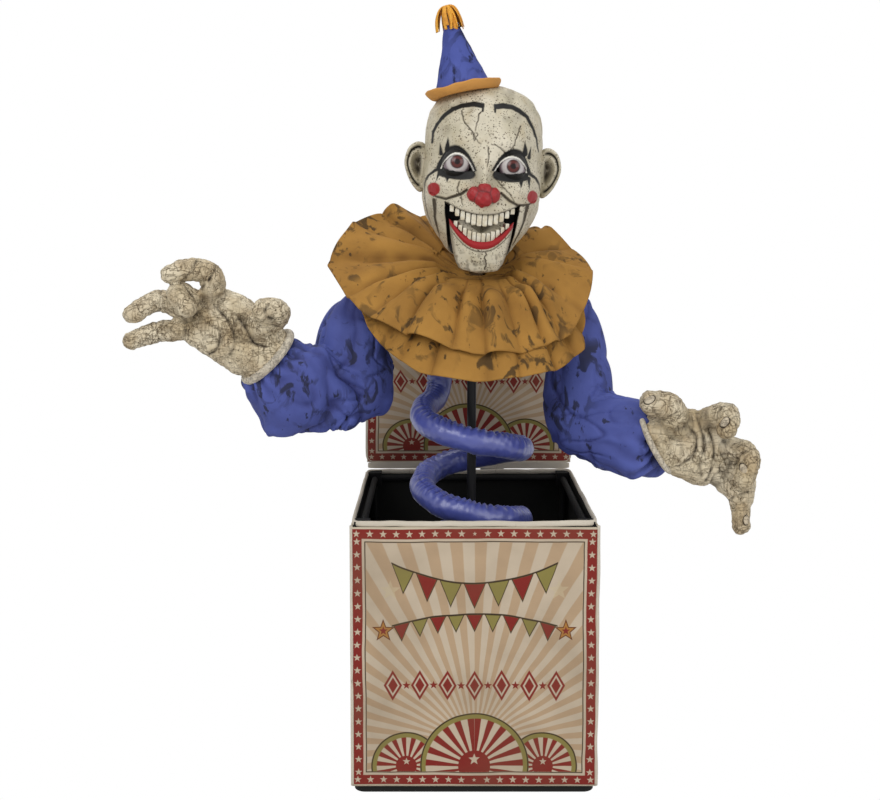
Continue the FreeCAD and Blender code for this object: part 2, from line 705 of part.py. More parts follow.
cover_outer = block("cover_outer", "sizes.housing_width", "sizes.housing_front + sizes.housing_back",
                    "sizes.housing_height", "-sizes.housing_width / 2", "-sizes.housing_front", COVER_Z)
cover_inner = block("cover_inner", "sizes.housing_width - 2 * sizes.housing_wall",
                    "sizes.housing_front + sizes.housing_back - 2 * sizes.housing_wall",
                    "sizes.housing_height - sizes.housing_wall",
                    "-sizes.housing_width / 2 + sizes.housing_wall",
                    "-sizes.housing_front + sizes.housing_wall", COVER_Z)
keep(minus("housing_cover", cover_outer, cover_inner), "housing_cover")

motor_body = round_bar("motor_body", "sizes.motor_dia", "sizes.motor_height", "0", PINION_Y, COVER_Z)
motor_bore = round_bar("motor_bore", "sizes.shaft_dia + 2 * sizes.running_gap", "26", "0", PINION_Y, COVER_Z)
keep(minus("gear_motor", motor_body, motor_bore), "gear_motor")
keep(block("sound_box", "42", "46", "24", "-sizes.housing_width / 2 + 8", "-32", COVER_Z), "sound_box")
keep(block("battery_box", "44", "58", "32", "sizes.housing_width / 2 - 52", "-36", COVER_Z), "battery_box")

# shoulders: bar, clamps, neck tee, clevises and pins
keep(round_bar("shoulder_bar", "sizes.bar_dia", "2 * sizes.bar_reach", "-sizes.bar_reach", "0", BAR_Z, ALONG_X),
     "shoulder_bar")
clamps = []
for side in ("-", ""):
    clamp = block("clamp%s" % len(clamps), "sizes.clamp_side", "sizes.clamp_side + 8",
                  "sizes.bar_lift + sizes.bar_dia / 2 + 4",
                  side + "sizes.clamp_place - sizes.clamp_side / 2", "-sizes.clamp_side / 2 - 4", COVER_TOP)
    hole = round_bar("clamp_hole%s" % len(clamps), "sizes.bar_dia", "sizes.clamp_side",
                     side + "sizes.clamp_place - sizes.clamp_side / 2", "0", BAR_Z, ALONG_X)
    clamps.append(minus("bar_clamp%s" % len(clamps), clamp, hole))
keep(group("bar_clamps", *clamps), "bar_clamps")

clevises = []
pins = []
for side in (-1, 1):
    tag = "left" if side < 0 else "right"
    low = "-sizes.pin_reach - 12" if side < 0 else "sizes.pin_reach - 33"
    body_block = block(tag + "_clevis_block", "45", "sizes.clevis_width", "sizes.clevis_height",
                       low, "-sizes.clevis_width / 2", BAR_Z + " - sizes.clevis_height / 2")
    slot_low = "-sizes.pin_reach - 13" if side < 0 else "sizes.pin_reach - 12"
    slot = block(tag + "_clevis_slot", "25", "sizes.clevis_slot", "sizes.clevis_height + 2",
                 slot_low, "-sizes.clevis_slot / 2", BAR_Z + " - sizes.clevis_height / 2 - 1")
    bar_low = "-sizes.bar_reach" if side < 0 else "sizes.pin_reach - 34"
    bore = round_bar(tag + "_clevis_bore", "sizes.bar_dia", "sizes.bar_reach - sizes.pin_reach + 34",
                     bar_low, "0", BAR_Z, ALONG_X)
    cross = round_bar(tag + "_clevis_cross", "sizes.pin_dia", "sizes.clevis_width",
                      ("-" if side < 0 else "") + "sizes.pin_reach", "-sizes.clevis_width / 2", BAR_Z, ALONG_Y)
    clevises.append(minus(tag + "_clevis", body_block, slot, bore, cross))
    pins.append(round_bar(tag + "_pin", "sizes.pin_dia", "sizes.clevis_width + 6",
                          ("-" if side < 0 else "") + "sizes.pin_reach", "-sizes.clevis_width / 2 - 3",
                          BAR_Z, ALONG_Y))
keep(group("shoulder_clevises", *clevises), "shoulder_clevises")
keep(group("shoulder_pins", *pins), "shoulder_pins")

head_turn = Rotation(Vector(0, 1, 0), size("head_roll"))
head_place = Placement(Vector(size("neck_x"), 0, size("neck_height")), head_turn)
neck_up = head_turn.multVec(Vector(0, 0, 1))
neck_radius = size("neck_dia") / 2
bar_z = worth(BAR_Z)
cover_top = worth(COVER_TOP)
tee_x = size("neck_x") - (size("neck_height") - bar_z) * math.tan(math.radians(size("head_roll")))
tee_side = size("tee_side")
tee = Part.makeBox(tee_side, tee_side, size("tee_height"), Vector(tee_x - tee_side / 2, -tee_side / 2, cover_top))
tee = tee.cut(Part.makeCylinder(size("bar_dia") / 2, tee_side, Vector(tee_x - tee_side / 2, 0, bar_z),
                                Vector(1, 0, 0)))
post_foot = size("neck_height") - (cover_top + size("tee_height") - 14)
tee = tee.cut(Part.makeCylinder(neck_radius, 40, head_place.Base - neck_up * post_foot, neck_up))
form("neck_tee", tee)

# neck post and head bush, drawn about the neck line
POST_LOW = "(sizes.neck_height - " + COVER_TOP + " - sizes.tee_height + 14)"
neck_post = turned("neck_post", (
    ("0", "-" + POST_LOW),
    ("sizes.neck_dia / 2", "-" + POST_LOW),
    ("sizes.neck_dia / 2", "-17"),
    ("sizes.neck_dia / 2 + 6", "-17"),
    ("sizes.neck_dia / 2 + 6", "-11"),
    ("sizes.neck_dia / 2", "-11"),
    ("sizes.neck_dia / 2", "12"),
    ("0", "12"),
))
neck_post.Placement = head_place
keep(neck_post, "neck_post")
neck_bush = turned("neck_bush", (
    ("sizes.neck_dia / 2 + sizes.running_gap", "-11 + sizes.thrust_gap"),
    ("sizes.neck_dia / 2 + 14", "-11 + sizes.thrust_gap"),
    ("sizes.neck_dia / 2 + 14", "-6"),
    ("sizes.neck_dia / 2 + 4", "-6"),
    ("sizes.neck_dia / 2 + 4", "8"),
    ("sizes.neck_dia / 2 + sizes.running_gap", "8"),
))
neck_bush.Placement = head_place
keep(neck_bush, "neck_bush")

# head shell: sections of (height, half width, front, back) from the neck up to the crown
HEAD = (
    (-6, 44, 72, 44),
    (14, 58, 98, 52),
    (45, 80, 108, 66),
    (89, 90, 110, 82),
    (135, 89, 106, 90),
    (182, 88, 98, 86),
    (209, 82, 84, 72),
    (228, 69, 66, 56),
    (241, 46, 44, 36),
    (248, 18, 18, 12),
)
X = Vector(1, 0, 0)
Y = Vector(0, 1, 0)
Z = Vector(0, 0, 1)
wall = size("head_wall")


def head_loft(shrink, low, high):
    """Solid through the head's sections, drawn in by a wall thickness."""
    rows = []
    for level, half, front, back in HEAD:
        place = min(max(level, low), high)
        rows.append(oval(Vector(0, 0, place), X, Y, max(half - shrink, 8), max(front - shrink, 8),
                         max(back - shrink, 6)))
    return Part.makeLoft(rows, True, False)


head_outer = head_loft(0, -6, 248)
head_inner = head_loft(wall, -6 + wall, 248 - wall)
shell = head_outer.cut(head_inner)


# ears: rounded lobes swelling out of the head's sides, each with a hollow to the front
EAR = ((76, 14, 26), (90, 20, 36), (102, 24, 41), (112, 22, 37), (117, 12, 24))
for side in (-1, 1):
    rows = [oval(Vector(side * out, -8, 125), Y, Z, deep, tall, tall) for out, deep, tall in EAR]
    ear = Part.makeLoft(rows, True, False)
    ear = ear.cut(Part.makeSphere(21, Vector(side * 121, -24, 126))).cut(head_inner)
    ear = max(ear.Solids, key=lambda solid: solid.Volume)
    shell = shell.fuse(ear)


def front_prism(points, arc_middle, low_y, high_y):
    """Prism along Y from corners in X and Z, closed by an arc from the last corner to the first."""
    spots = [Vector(x, low_y, z) for x, z in points]
    edges = [Part.LineSegment(a, b).toShape() for a, b in zip(spots, spots[1:])]
    bulge = Vector(arc_middle[0], low_y, arc_middle[1])
    edges.append(Part.Arc(spots[-1], bulge, spots[0]).toShape())
    return Part.Face(Part.Wire(edges)).extrude(Vector(0, high_y - low_y, 0))


jaw_gap = size("jaw_gap")
slot = front_prism(((-52 - jaw_gap, 70), (-40 - jaw_gap, -12), (40 + jaw_gap, -12), (52 + jaw_gap, 70)),
                   (0, 52), -160, -22)
shell = shell.cut(slot)
pin_spot = Vector(0, size("jaw_pin_y"), size("jaw_pin_z"))
pin_radius = size("jaw_pin_dia") / 2
boss = Part.makeCylinder(9, 200, pin_spot - X * 100, X).common(head_outer)
boss = boss.cut(Part.makeBox(116, 60, 60, pin_spot + Vector(-58, -30, -30)))
shell = shell.fuse(boss)
shell = shell.cut(Part.makeCylinder(pin_radius, 152, pin_spot - X * 76, X))
shell = shell.cut(Part.makeCylinder(neck_radius + 4, 30, Vector(0, 0, -20), Z))
eyeballs = []
for side in (-1, 1):
    eye_centre = Vector(side * size("eye_spread"), -86, size("eye_height"))
    eyeball = Part.makeSphere(size("eyeball_dia") / 2, eye_centre)
    shell = shell.cut(eyeball)
    eyeballs.append(eyeball)
form("head_shell", shell.removeSplitter(), head_place)
form("left_eye", eyeballs[0], head_place)
form("right_eye", eyeballs[1], head_place)
form("jaw_pin", Part.makeCylinder(pin_radius, 152, pin_spot - X * 76, X), head_place)
form("jaw_motor", Part.makeBox(30, 14, 36, Vector(-15, 18, -6 + wall)), head_place)

nose = Part.makeSphere(12, Vector(-13, -113, 80))
nose = nose.multiFuse([Part.makeSphere(12.3, Vector(13, -113, 80)), Part.makeSphere(11.4, Vector(0, -119, 90)),
                       Part.makeSphere(12.7, Vector(0, -118, 71))])
form("clown_nose", nose.cut(head_outer), head_place)


def parted(radius, thick, low, high, keep_low, keep_high):
    """Row of teeth with gaps that stop short of the gum."""
    centre = Vector(0, -22, low)
    tall = high - low
    band = Part.makeCylinder(radius, tall, centre).cut(Part.makeCylinder(radius - thick, tall, centre))
    band = band.common(Part.makeBox(88, 62, tall, Vector(-44, -122, low)))
    for index in range(-3, 4):
        blade = Part.makeBox(0.9, 30, keep_high - keep_low, Vector(-0.45, -22 - radius - 8, keep_low))
        blade.rotate(Vector(0, -22, 0), Z, index * 9.0)
        band = band.cut(blade)
    return band


upper = parted(84, 6, 36, 72, 36, 52)
upper = upper.cut(front_prism(((-60, 62), (-60, 0), (60, 0), (60, 62)), (0, 39), -160, 0)).cut(shell)
form("upper_teeth", upper, head_place)

# jaw block with its arms back to the pin, and the lower teeth
JAW = (
    (-30, 24, 100, 60),
    (-18, 33, 110, 58),
    (0, 38, 114, 56),
    (22, 42, 115, 56),
    (45, 46, 112, 56),
    (68, 50, 106, 56),
)


def jaw_loft(shrink, back_shift, low):
    rows = []
    for level, half, front, back in JAW:
        middle = -(front + back) / 2 + back_shift
        reach = (front - back) / 2
        rows.append(oval(Vector(0, middle, max(level, low)), X, Y, half - shrink, reach + back_shift - shrink,
                         reach))
    return Part.makeLoft(rows, True, False)


jaw = jaw_loft(0, 0, -30).cut(jaw_loft(8, 10, -20))
jaw = jaw.cut(front_prism(((-80, 66), (-80, 120), (80, 120), (80, 66)), (0, 21), -160, 0))
arm_points = [(-76, 20), (-70, 6), (-58, 6), (6, 70), (10, 78), (2, 88), (-8, 84), (-76, 40)]
for side in (-1, 1):
    corner_x = side * 33 - 2.5
    ring = [Vector(corner_x, y, z) for y, z in arm_points]
    plate = Part.Face(Part.makePolygon(ring + [ring[0]])).extrude(Vector(5, 0, 0))
    jaw = jaw.fuse(plate)
jaw = jaw.cut(Part.makeCylinder(pin_radius + size("running_gap"), 160, pin_spot - X * 80, X))
form("jaw", jaw, head_place)
lower = parted(86, 7, 8, 34, 20, 34)
lower = lower.cut(front_prism(((-60, 58), (-60, 90), (60, 90), (60, 58)), (0, 32), -160, 0)).cut(jaw)
form("lower_teeth", max(lower.Solids, key=lambda solid: solid.Volume), head_place)

# hat: leaning cone, rolled brim and strip tassel
hat_place = Placement(Vector(-35, -24, 238), Rotation(Vector(0, 1, 0), -size("hat_lean")))
hat_radius = size("hat_base_dia") / 2
hat_height = size("hat_height")
hat_wall = size("hat_wall")
cone = Part.makeCone(hat_radius, 3.5, hat_height)
cone = cone.cut(Part.makeCone(hat_radius - hat_wall, 0.5, hat_height - 2 * hat_wall))
brim = Part.makeTorus(hat_radius + size("brim_tube") / 2 - 2, size("brim_tube") / 2)
brim = brim.cut(Part.makeCone(hat_radius, 3.5, hat_height)).cut(Part.makeCylinder(hat_radius - 1, 20, Vector(0, 0, -20)))
solid_cone = Part.makeCone(hat_radius, 3.5, hat_height)
tassel = Part.makeSphere(6, Vector(0, 0, hat_height + 4))
for index in range(9):
    strip = Part.makeCone(3.4, 1.6, 26)
    strip.rotate(Vector(0, 0, 0), Y, 38 + 24 * (index % 3))
    strip.rotate(Vector(0, 0, 0), Z, index * 40)
    strip.translate(Vector(0, 0, hat_height + 4))
    tassel = tassel.fuse(strip)
tassel = tassel.cut(solid_cone)
for label, piece in (("hat_cone", cone), ("hat_brim", brim), ("hat_tassel", tassel)):
    piece.Placement = hat_place
    fitted = piece.cut(head_outer)
    form(label, max(fitted.Solids, key=lambda solid: solid.Volume), head_place)


# collar ruffles: thin pleated cloth from the neck ring out to a wavy edge, high at the back
# each edge is given as (bearing from the right going back, reach from the neck line, height)
UPPER_EDGE = (
    (0, 176, 738), (33, 146, 798), (90, 140, 816), (147, 167, 832), (166, 202, 812), (182, 230, 745),
    (205, 193, 682), (228, 167, 655), (266, 160, 629), (292, 155, 629), (325, 157, 645), (350, 170, 705),
)
LOWER_EDGE = (
    (0, 158, 722), (45, 136, 752), (90, 130, 775), (147, 150, 782), (182, 188, 728), (205, 180, 658),
    (222, 178, 628), (241, 171, 600), (267, 165, 590), (312, 163, 601), (330, 168, 622), (347, 160, 678),
)


def edge_spot(edge, bearing):
    """Reach and height of a ruffle's edge, with straight runs between the given bearings."""
    bearing = bearing % 360
    for low, high in zip(edge, edge[1:] + ((360,) + edge[0][1:],)):
        if low[0] <= bearing <= high[0]:
            share = (bearing - low[0]) / (high[0] - low[0])
            return low[1] + (high[1] - low[1]) * share, low[2] + (high[2] - low[2]) * share
    raise RuntimeError("no edge at bearing %s" % bearing)


def collar_ring(share, neck, edge):
    """Zigzag of pleat folds: share 0 at the neck ring, 1 at the edge."""
    pleats = int(round(size("collar_pleats")))
    wave = size("collar_wave") * share
    spots = []
    for index in range(2 * pleats):
        bearing = index * 180.0 / pleats
        angle = math.radians(bearing)
        crest = wave if index % 2 == 0 else -wave
        front = max(0.0, -math.sin(angle))
        rear = max(0.0, math.sin(angle))
        low = neck[1] + (neck[0] - neck[1]) * front * (2 - front) + (neck[2] - neck[1]) * rear
        out, high = edge_spot(edge, bearing)
        radius = size("collar_neck") + (out - size("collar_neck")) * share + 0.4 * crest
        level = low + (high - low) * (share - 0.10 * math.sin(math.pi * share)) + crest
        spots.append(Vector(size("neck_x") + radius * math.cos(angle), radius * math.sin(angle), level))
    return spots


def strip(low_row, high_row):
    """Flat triangles between two closed rows of points."""
    faces = []
    count = len(low_row)
    for index in range(count):
        after = (index + 1) % count
        for three in ((low_row[index], low_row[after], high_row[after]),
                      (low_row[index], high_row[after], high_row[index])):
            faces.append(Part.Face(Part.makePolygon(three + (three[0],))))
    return faces


def ruffle(label, neck, edge):
    """Cloth solid between a top and an under sheet of folded triangles."""
    thick = Vector(0, 0, -size("cloth_thick"))
    top = [collar_ring(share, neck, edge) for share in (0.0, 0.5, 1.0)]
    under = [[spot + thick for spot in row] for row in top]
    faces = []
    for rows in (top, under):
        for low_row, high_row in zip(rows, rows[1:]):
            faces.extend(strip(low_row, high_row))
    faces.extend(strip(under[0], top[0]))
    faces.extend(strip(under[2], top[2]))
    skin = Part.makeShell(faces)
    skin.sewShape()
    solid = Part.makeSolid(Part.Shell(skin.Faces))
    if solid.Volume < 0:
        solid.reverse()
    form(label, solid)


ruffle("collar_upper", (728, 752, 764), UPPER_EDGE)
ruffle("collar_lower", (716, 740, 752), LOWER_EDGE)

# shirt yoke: cloth hung over the bar clamps, open at both ends and round the neck
yoke_top = cover_top + size("bar_lift") + size("bar_dia") / 2 + 4
yoke_inner = ((-58, 606), (-55, 655), (-47, 683), (-18, yoke_top), (18, yoke_top), (62, 691), (80, 680),
              (82, 655), (86, 606))
yoke_skin = ((-61, 606), (-58, 656), (-50, 685), (-19, yoke_top + 3), (19, yoke_top + 3), (63.5, 694),
             (83, 682), (85, 656), (89, 606))
yoke_ring = [Vector(-size("yoke_half"), y, z) for y, z in yoke_skin + tuple(reversed(yoke_inner))]
yoke_run = Vector(2 * size("yoke_half"), 0, 0)
yoke = Part.Face(Part.makePolygon(yoke_ring + [yoke_ring[0]])).extrude(yoke_run)
neck_middle = Vector(size("neck_x"), 0, 600)
yoke = yoke.cut(Part.makeCylinder(46, 200, neck_middle, Z))
form("shirt_yoke", yoke)

# neck band: gathered cloth ring that stands on the yoke and carries both ruffles
full_ring = [Vector(-size("yoke_half"), y, z) for y, z in yoke_skin]
yoke_full = Part.Face(Part.makePolygon(full_ring + [full_ring[0]])).extrude(yoke_run)
band_radius = size("collar_neck") * math.cos(math.pi / (2 * size("collar_pleats"))) - 0.05
band = Part.makeCylinder(band_radius, 200, neck_middle).cut(
    Part.makeCylinder(band_radius - size("cloth_thick"), 200, neck_middle))
slant = Part.makeBox(300, 400, 200, Vector(-150, -200, 0))
slant.rotate(Vector(0, 0, 0), X, 14)
slant.translate(Vector(size("neck_x"), 0, 748))
band = band.cut(slant).cut(yoke_full).cut(Part.makeBox(300, 300, 96, Vector(-150, -150, 600)))
chin_room = Part.makeBox(128, 80, 60, Vector(size("neck_x") - 64, -100, 720))
band = band.cut(chin_room)
form("neck_band", max(band.Solids, key=lambda solid: solid.Volume))


# arms: rod, stuffed sleeves and moulded hands
def limb(rows):
    """Stuffed limb through ovals given as (centre, run, half up, half side)."""
    wires = []
    for centre, run, half_up, half_side in rows:
        forward = Vector(*run).normalize()
        side = forward.cross(Z)
        if side.Length < 0.2:
            side = X
        side = side.normalize()
        up = side.cross(forward).normalize()
        wires.append(oval(Vector(*centre), side, up, half_side, half_up, half_up, 0.73))
    return Part.makeLoft(wires, True, False)


def capsule(start, end, low, high):
    """Tapering rod with round ends, turned about its own line."""
    run = end - start
    length = run.Length
    lean = math.asin((low - high) / length)
    turn = [(180, low, 0), (135 - math.degrees(lean) / 2, low, 0), (90 - math.degrees(lean), low, 0),
            (90 - math.degrees(lean), high, length), (45 - math.degrees(lean) / 2, high, length), (0, high, length)]
    spots = []
    for degrees, radius, along in turn:
        spots.append(Vector(radius * math.sin(math.radians(degrees)), 0,
                            along + radius * math.cos(math.radians(degrees))))
    edges = [
        Part.Arc(spots[0], spots[1], spots[2]).toShape(),
        Part.LineSegment(spots[2], spots[3]).toShape(),
        Part.Arc(spots[3], spots[4], spots[5]).toShape(),
        Part.LineSegment(spots[5], spots[0]).toShape(),
    ]
    rod = Part.Face(Part.Wire(edges)).revolve(Vector(0, 0, 0), Z, 360)
    if rod.Volume < 0:
        rod.reverse()
    rod.Placement = Placement(start, Rotation(Z, run))
    return rod


def finger(points, radii):
    """Finger of tapering bones, each a little fuller at the knuckle than the one before."""
    spots = [Vector(*point) for point in points]
    bones = []
    for index, (start, end, low, high) in enumerate(zip(spots, spots[1:], radii, radii[1:])):
        bones.append(capsule(start, end, low * (1.0 if index == 0 else 1.07), high))
    return bones


ARMS = {
    "left": {
        "elbow": (-186, -8, 552),
        "wrist": (-326, -76, 634),
        "upper": (
            ((-170, 14, 692), (0, 0, -1), 20, 17),
            ((-180, 14, 682), (0, 0, -1), 28, 36),
            ((-183, 12, 650), (0, 0, -1), 38, 52),
            ((-178, 6, 600), (0, 0, -1), 50, 59),
            ((-172, 0, 550), (0, 0, -1), 52, 54),
            ((-166, -4, 516), (0, 0, -1), 30, 34),
        ),
        "fore": (
            ((-200, -16, 560), (-0.9, -0.35, 0.1), 40, 36),
            ((-246, -40, 567), (-0.85, -0.4, 0.25), 68, 50),
            ((-282, -58, 586), (-0.75, -0.38, 0.5), 66, 52),
            ((-298, -66, 608), (-0.66, -0.3, 0.69), 52, 47),
            ((-305, -69, 616), (-0.66, -0.3, 0.69), 46, 43),
        ),
        "palm": (
            ((-306, -70, 617), (-0.66, -0.3, 0.69), 45, 42),
            ((-330, -79, 637), (-0.72, -0.26, 0.62), 50, 34),
            ((-366, -84, 664), (-0.78, -0.2, 0.55), 52, 27),
            ((-396, -84, 676), (-0.85, -0.15, 0.45), 46, 22),
            ((-412, -84, 681), (-0.85, -0.15, 0.45), 38, 16),
        ),
        "cuff": ((-304, -69, 615), (-0.66, -0.3, 0.69), 53),
        "fingers": (
            (((-380, -86, 700), (-382, -98, 738), (-410, -106, 745), (-436, -112, 739)), (19, 17, 16, 14)),
            (((-398, -84, 692), (-426, -108, 711), (-409, -124, 691)), (18, 16.5, 14)),
            (((-410, -82, 676), (-456, -90, 699), (-494, -100, 681)), (17.5, 16, 14)),
            (((-408, -80, 656), (-462, -84, 653), (-498, -96, 641)), (18, 15.5, 13.5)),
            (((-330, -92, 655), (-288, -106, 668), (-304, -124, 672)), (24, 21, 17)),
        ),
    },
    "right": {
        "elbow": (168, -10, 506),
        "wrist": (300, -66, 488),
        "upper": (
            ((166, 14, 692), (0, 0, -1), 20, 17),
            ((168, 14, 682), (0, 0, -1), 28, 30),
            ((168, 12, 650), (0, 0, -1), 38, 40),
            ((165, 6, 590), (0, 0, -1), 50, 49),
            ((162, 0, 530), (0, 0, -1), 52, 48),
            ((160, -4, 490), (0, 0, -1), 42, 42),
            ((160, -6, 468), (0, 0, -1), 26, 28),
        ),
        "fore": (
            ((180, -18, 500), (0.92, -0.35, -0.1), 38, 36),
            ((222, -40, 490), (0.92, -0.36, -0.05), 58, 48),
            ((254, -54, 487), (0.92, -0.34, 0.1), 57, 48),
            ((270, -60, 488), (0.9, -0.3, 0.3), 50, 44),
        ),
        "palm": (
            ((271, -61, 488), (0.9, -0.3, 0.3), 49, 42),
            ((296, -70, 488), (0.95, -0.25, 0.1), 52, 34),
            ((330, -77, 482), (0.97, -0.2, -0.1), 56, 27),
            ((358, -77, 474), (0.97, -0.15, -0.2), 52, 22),
            ((374, -77, 469), (0.97, -0.15, -0.2), 42, 16),
        ),
        "cuff": ((269, -60, 488), (0.9, -0.3, 0.3), 55),
        "fingers": (
            (((344, -82, 522), (369, -104, 534), (364, -124, 517)), (19, 17.5, 15)),
            (((366, -78, 482), (402, -98, 474), (393, -116, 440)), (18, 16.5, 14.5)),
            (((370, -76, 456), (402, -84, 436), (400, -92, 404)), (17, 15, 12.5)),
            (((364, -74, 438), (392, -88, 410), (394, -100, 370)), (17, 15.5, 13.5)),
            (((300, -88, 514), (284, -104, 540), (256, -110, 540)), (22, 20, 16)),
        ),
    },
}
rod_radius = size("arm_rod_dia") / 2
for tag, plan in ARMS.items():
    side = -1 if tag == "left" else 1
    pivot = Vector(side * size("pin_reach"), 0, bar_z)
    eye_radius = size("eye_dia") / 2
    eye_width = size("eye_width")
    eye = Part.makeCylinder(eye_radius, eye_width, pivot - Y * (eye_width / 2), Y)
    path = [pivot - Z * (eye_radius - 2), Vector(*plan["elbow"]), Vector(*plan["wrist"])]
    rod = swept(path, rod_radius, 30)
    clear = swept(path, rod_radius + 0.3, 30)
    pin_bore = Part.makeCylinder(size("pin_dia") / 2 + size("running_gap"), 40, pivot - Y * 20, Y)
    form(tag + "_arm_rod", rod.fuse(eye).cut(pin_bore).removeSplitter())
    room = Part.makeCylinder(38, 32, pivot - Y * 16, Y)
    upper_sleeve = limb(plan["upper"])
    fore_sleeve = limb(plan["fore"])
    cuff_centre, cuff_run, cuff_radius = plan["cuff"]
    cuff = Part.makeTorus(cuff_radius - 9, 9, Vector(*cuff_centre), Vector(*cuff_run))
    palm = limb(plan["palm"])
    hand = palm
    for points, radii in plan["fingers"]:
        bones = finger(points, radii)
        hand = hand.fuse(bones[0].multiFuse(bones[1:]))
    hand = hand.fuse(cuff).cut(rod)
    hand = max(hand.Solids, key=lambda solid: solid.Volume)
    form(tag + "_hand", hand)
    whole_hand = palm.fuse(cuff)
    fore_sleeve = fore_sleeve.cut(upper_sleeve).cut(whole_hand).cut(clear)
    fore_sleeve = max(fore_sleeve.Solids, key=lambda solid: solid.Volume)
    form(tag + "_forearm_sleeve", fore_sleeve)
    upper_sleeve = upper_sleeve.cut(room).cut(clear)
    upper_sleeve = max(upper_sleeve.Solids, key=lambda solid: solid.Volume)
    form(tag + "_upper_sleeve", upper_sleeve)

# write every sub-part once it is sound
doc.recompute()
os.makedirs("parts", exist_ok=True)
for obj in doc.Objects:
    if "Invalid" in obj.State or "Error" in obj.State:
        raise RuntimeError("%s did not build: %s" % (obj.Label, obj.State))
for obj in NODES:
    shape = obj.Shape
    if shape.isNull() or not shape.isValid() or not shape.Solids:
        raise RuntimeError("%s has no sound shape" % obj.Label)
for obj in NODES:
    obj.Shape.exportStep("parts/%s.step" % obj.Label)
print("%d sub-parts written" % len(NODES))
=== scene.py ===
"""Spring clown in a printed cloth box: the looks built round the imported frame.

Lengths in the formulas are millimetres in the frame's axes: X to the right seen from the front, Y to the
back and Z up. Meshes are written in metres.
"""

import math

import bpy
import numpy as np
from bpy.props import FloatProperty, FloatVectorProperty, IntProperty, PointerProperty
from bpy.types import Operator, Panel, PropertyGroup
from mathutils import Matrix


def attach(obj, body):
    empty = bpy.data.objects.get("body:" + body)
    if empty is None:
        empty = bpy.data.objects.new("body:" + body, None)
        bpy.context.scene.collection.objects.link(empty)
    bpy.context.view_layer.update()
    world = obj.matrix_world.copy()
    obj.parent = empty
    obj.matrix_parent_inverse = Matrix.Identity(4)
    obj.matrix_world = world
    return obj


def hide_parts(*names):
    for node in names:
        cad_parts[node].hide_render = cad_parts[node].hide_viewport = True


bl_info = {
    "name": "Spring Clown Looks",
    "version": (1, 0, 0),
    "blender": (4, 5, 0),
    "location": "View3D > Sidebar > Clown",
    "description": "Printed cloth, satin, painted skin and a plain stage for a spring clown in a box",
    "category": "Object",
}

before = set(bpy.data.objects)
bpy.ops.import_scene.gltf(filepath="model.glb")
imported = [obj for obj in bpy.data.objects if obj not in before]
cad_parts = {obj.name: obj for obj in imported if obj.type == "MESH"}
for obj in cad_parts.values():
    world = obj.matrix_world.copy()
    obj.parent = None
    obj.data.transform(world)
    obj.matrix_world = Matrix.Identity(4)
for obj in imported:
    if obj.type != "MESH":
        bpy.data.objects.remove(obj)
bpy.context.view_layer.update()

MM = 0.001
TURN = 2 * math.pi
FINISHES = {}


# sums on whole arrays
def ease(value, low, high):
    """0 below low, 1 above high and a smooth slope between."""
    share = np.clip((value - low) / (high - low), 0, 1)
    return share * share * (3 - 2 * share)


def hill(value, middle, reach):
    """Round hill of height 1 about a middle."""
    return np.exp(-(((value - middle) / reach) ** 2))


def curve(value, knots, heights):
    """Smooth curve through the knots: cubic pieces whose slopes follow the neighbouring chords."""
    knots = np.asarray(knots, float)
    heights = np.asarray(heights, float)
    slopes = np.gradient(heights, knots, axis=0)
    piece = np.clip(np.searchsorted(knots, value) - 1, 0, len(knots) - 2)
    gap = knots[piece + 1] - knots[piece]
    share = np.clip((value - knots[piece]) / gap, 0, 1)
    if heights.ndim > 1:
        gap, share = gap[..., None], share[..., None]
    low, high = heights[piece], heights[piece + 1]
    return (low * (1 + 2 * share) * (1 - share) ** 2 + high * share ** 2 * (3 - 2 * share)
            + gap * share * (1 - share) * (slopes[piece] * (1 - share) - slopes[piece + 1] * share))


def line_through(points, count):
    """Smooth line of count points through a few given points."""
    return curve(np.linspace(0, len(points) - 1, count), np.arange(len(points)), points)


def squared(wave, power):
    """Wave with its corners squared: a power under 1 of its size, with its own sign."""
    return np.sign(wave) * np.abs(wave) ** power


def rounded_square(power, count=4001):
    """Square of half side 1: a circle whose cosine and sine are squared by a power."""
    angle = np.linspace(0, TURN, count)
    return squared(np.cos(angle), power), squared(np.sin(angle), power)


def even(path, count):
    """The same line with count points at equal steps."""
    run = np.concatenate([[0], np.cumsum(np.linalg.norm(np.diff(path, axis=0), axis=1))])
    steps = np.linspace(0, run[-1], count)
    return np.stack([np.interp(steps, run, path[:, axis]) for axis in range(3)], -1)


def ripple(points, size, seed, count=12):
    """Random ripples of about one wavelength, near -1 to 1: a mean of plane sine waves."""
    chance = np.random.default_rng(seed)
    runs = chance.normal(size=(count, 3))
    runs *= TURN / size * chance.uniform(0.6, 1.5, (count, 1)) / np.linalg.norm(runs, axis=1, keepdims=True)
    return np.sin(points @ runs.T + chance.uniform(0, TURN, count)).mean(axis=-1) * math.sqrt(count)


def unit(vectors):
    """Vectors scaled to a length of 1."""
    return vectors / np.maximum(np.linalg.norm(vectors, axis=-1, keepdims=True), 1e-9)


def tube(path, reach_side, reach_up, hint, around):
    """Oval rings carried along a path: side is across the hint, up is square to the side and the path."""
    run = unit(np.gradient(path, axis=0))
    side = unit(np.cross(run, hint))
    up = np.cross(side, run)
    angle = np.linspace(0, TURN, around, endpoint=False)
    reach_side = np.broadcast_to(reach_side, len(path))
    reach_up = np.broadcast_to(reach_up, len(path))
    return (path[:, None] + side[:, None] * (reach_side[:, None] * np.cos(angle))[..., None]
            + up[:, None] * (reach_up[:, None] * np.sin(angle))[..., None])


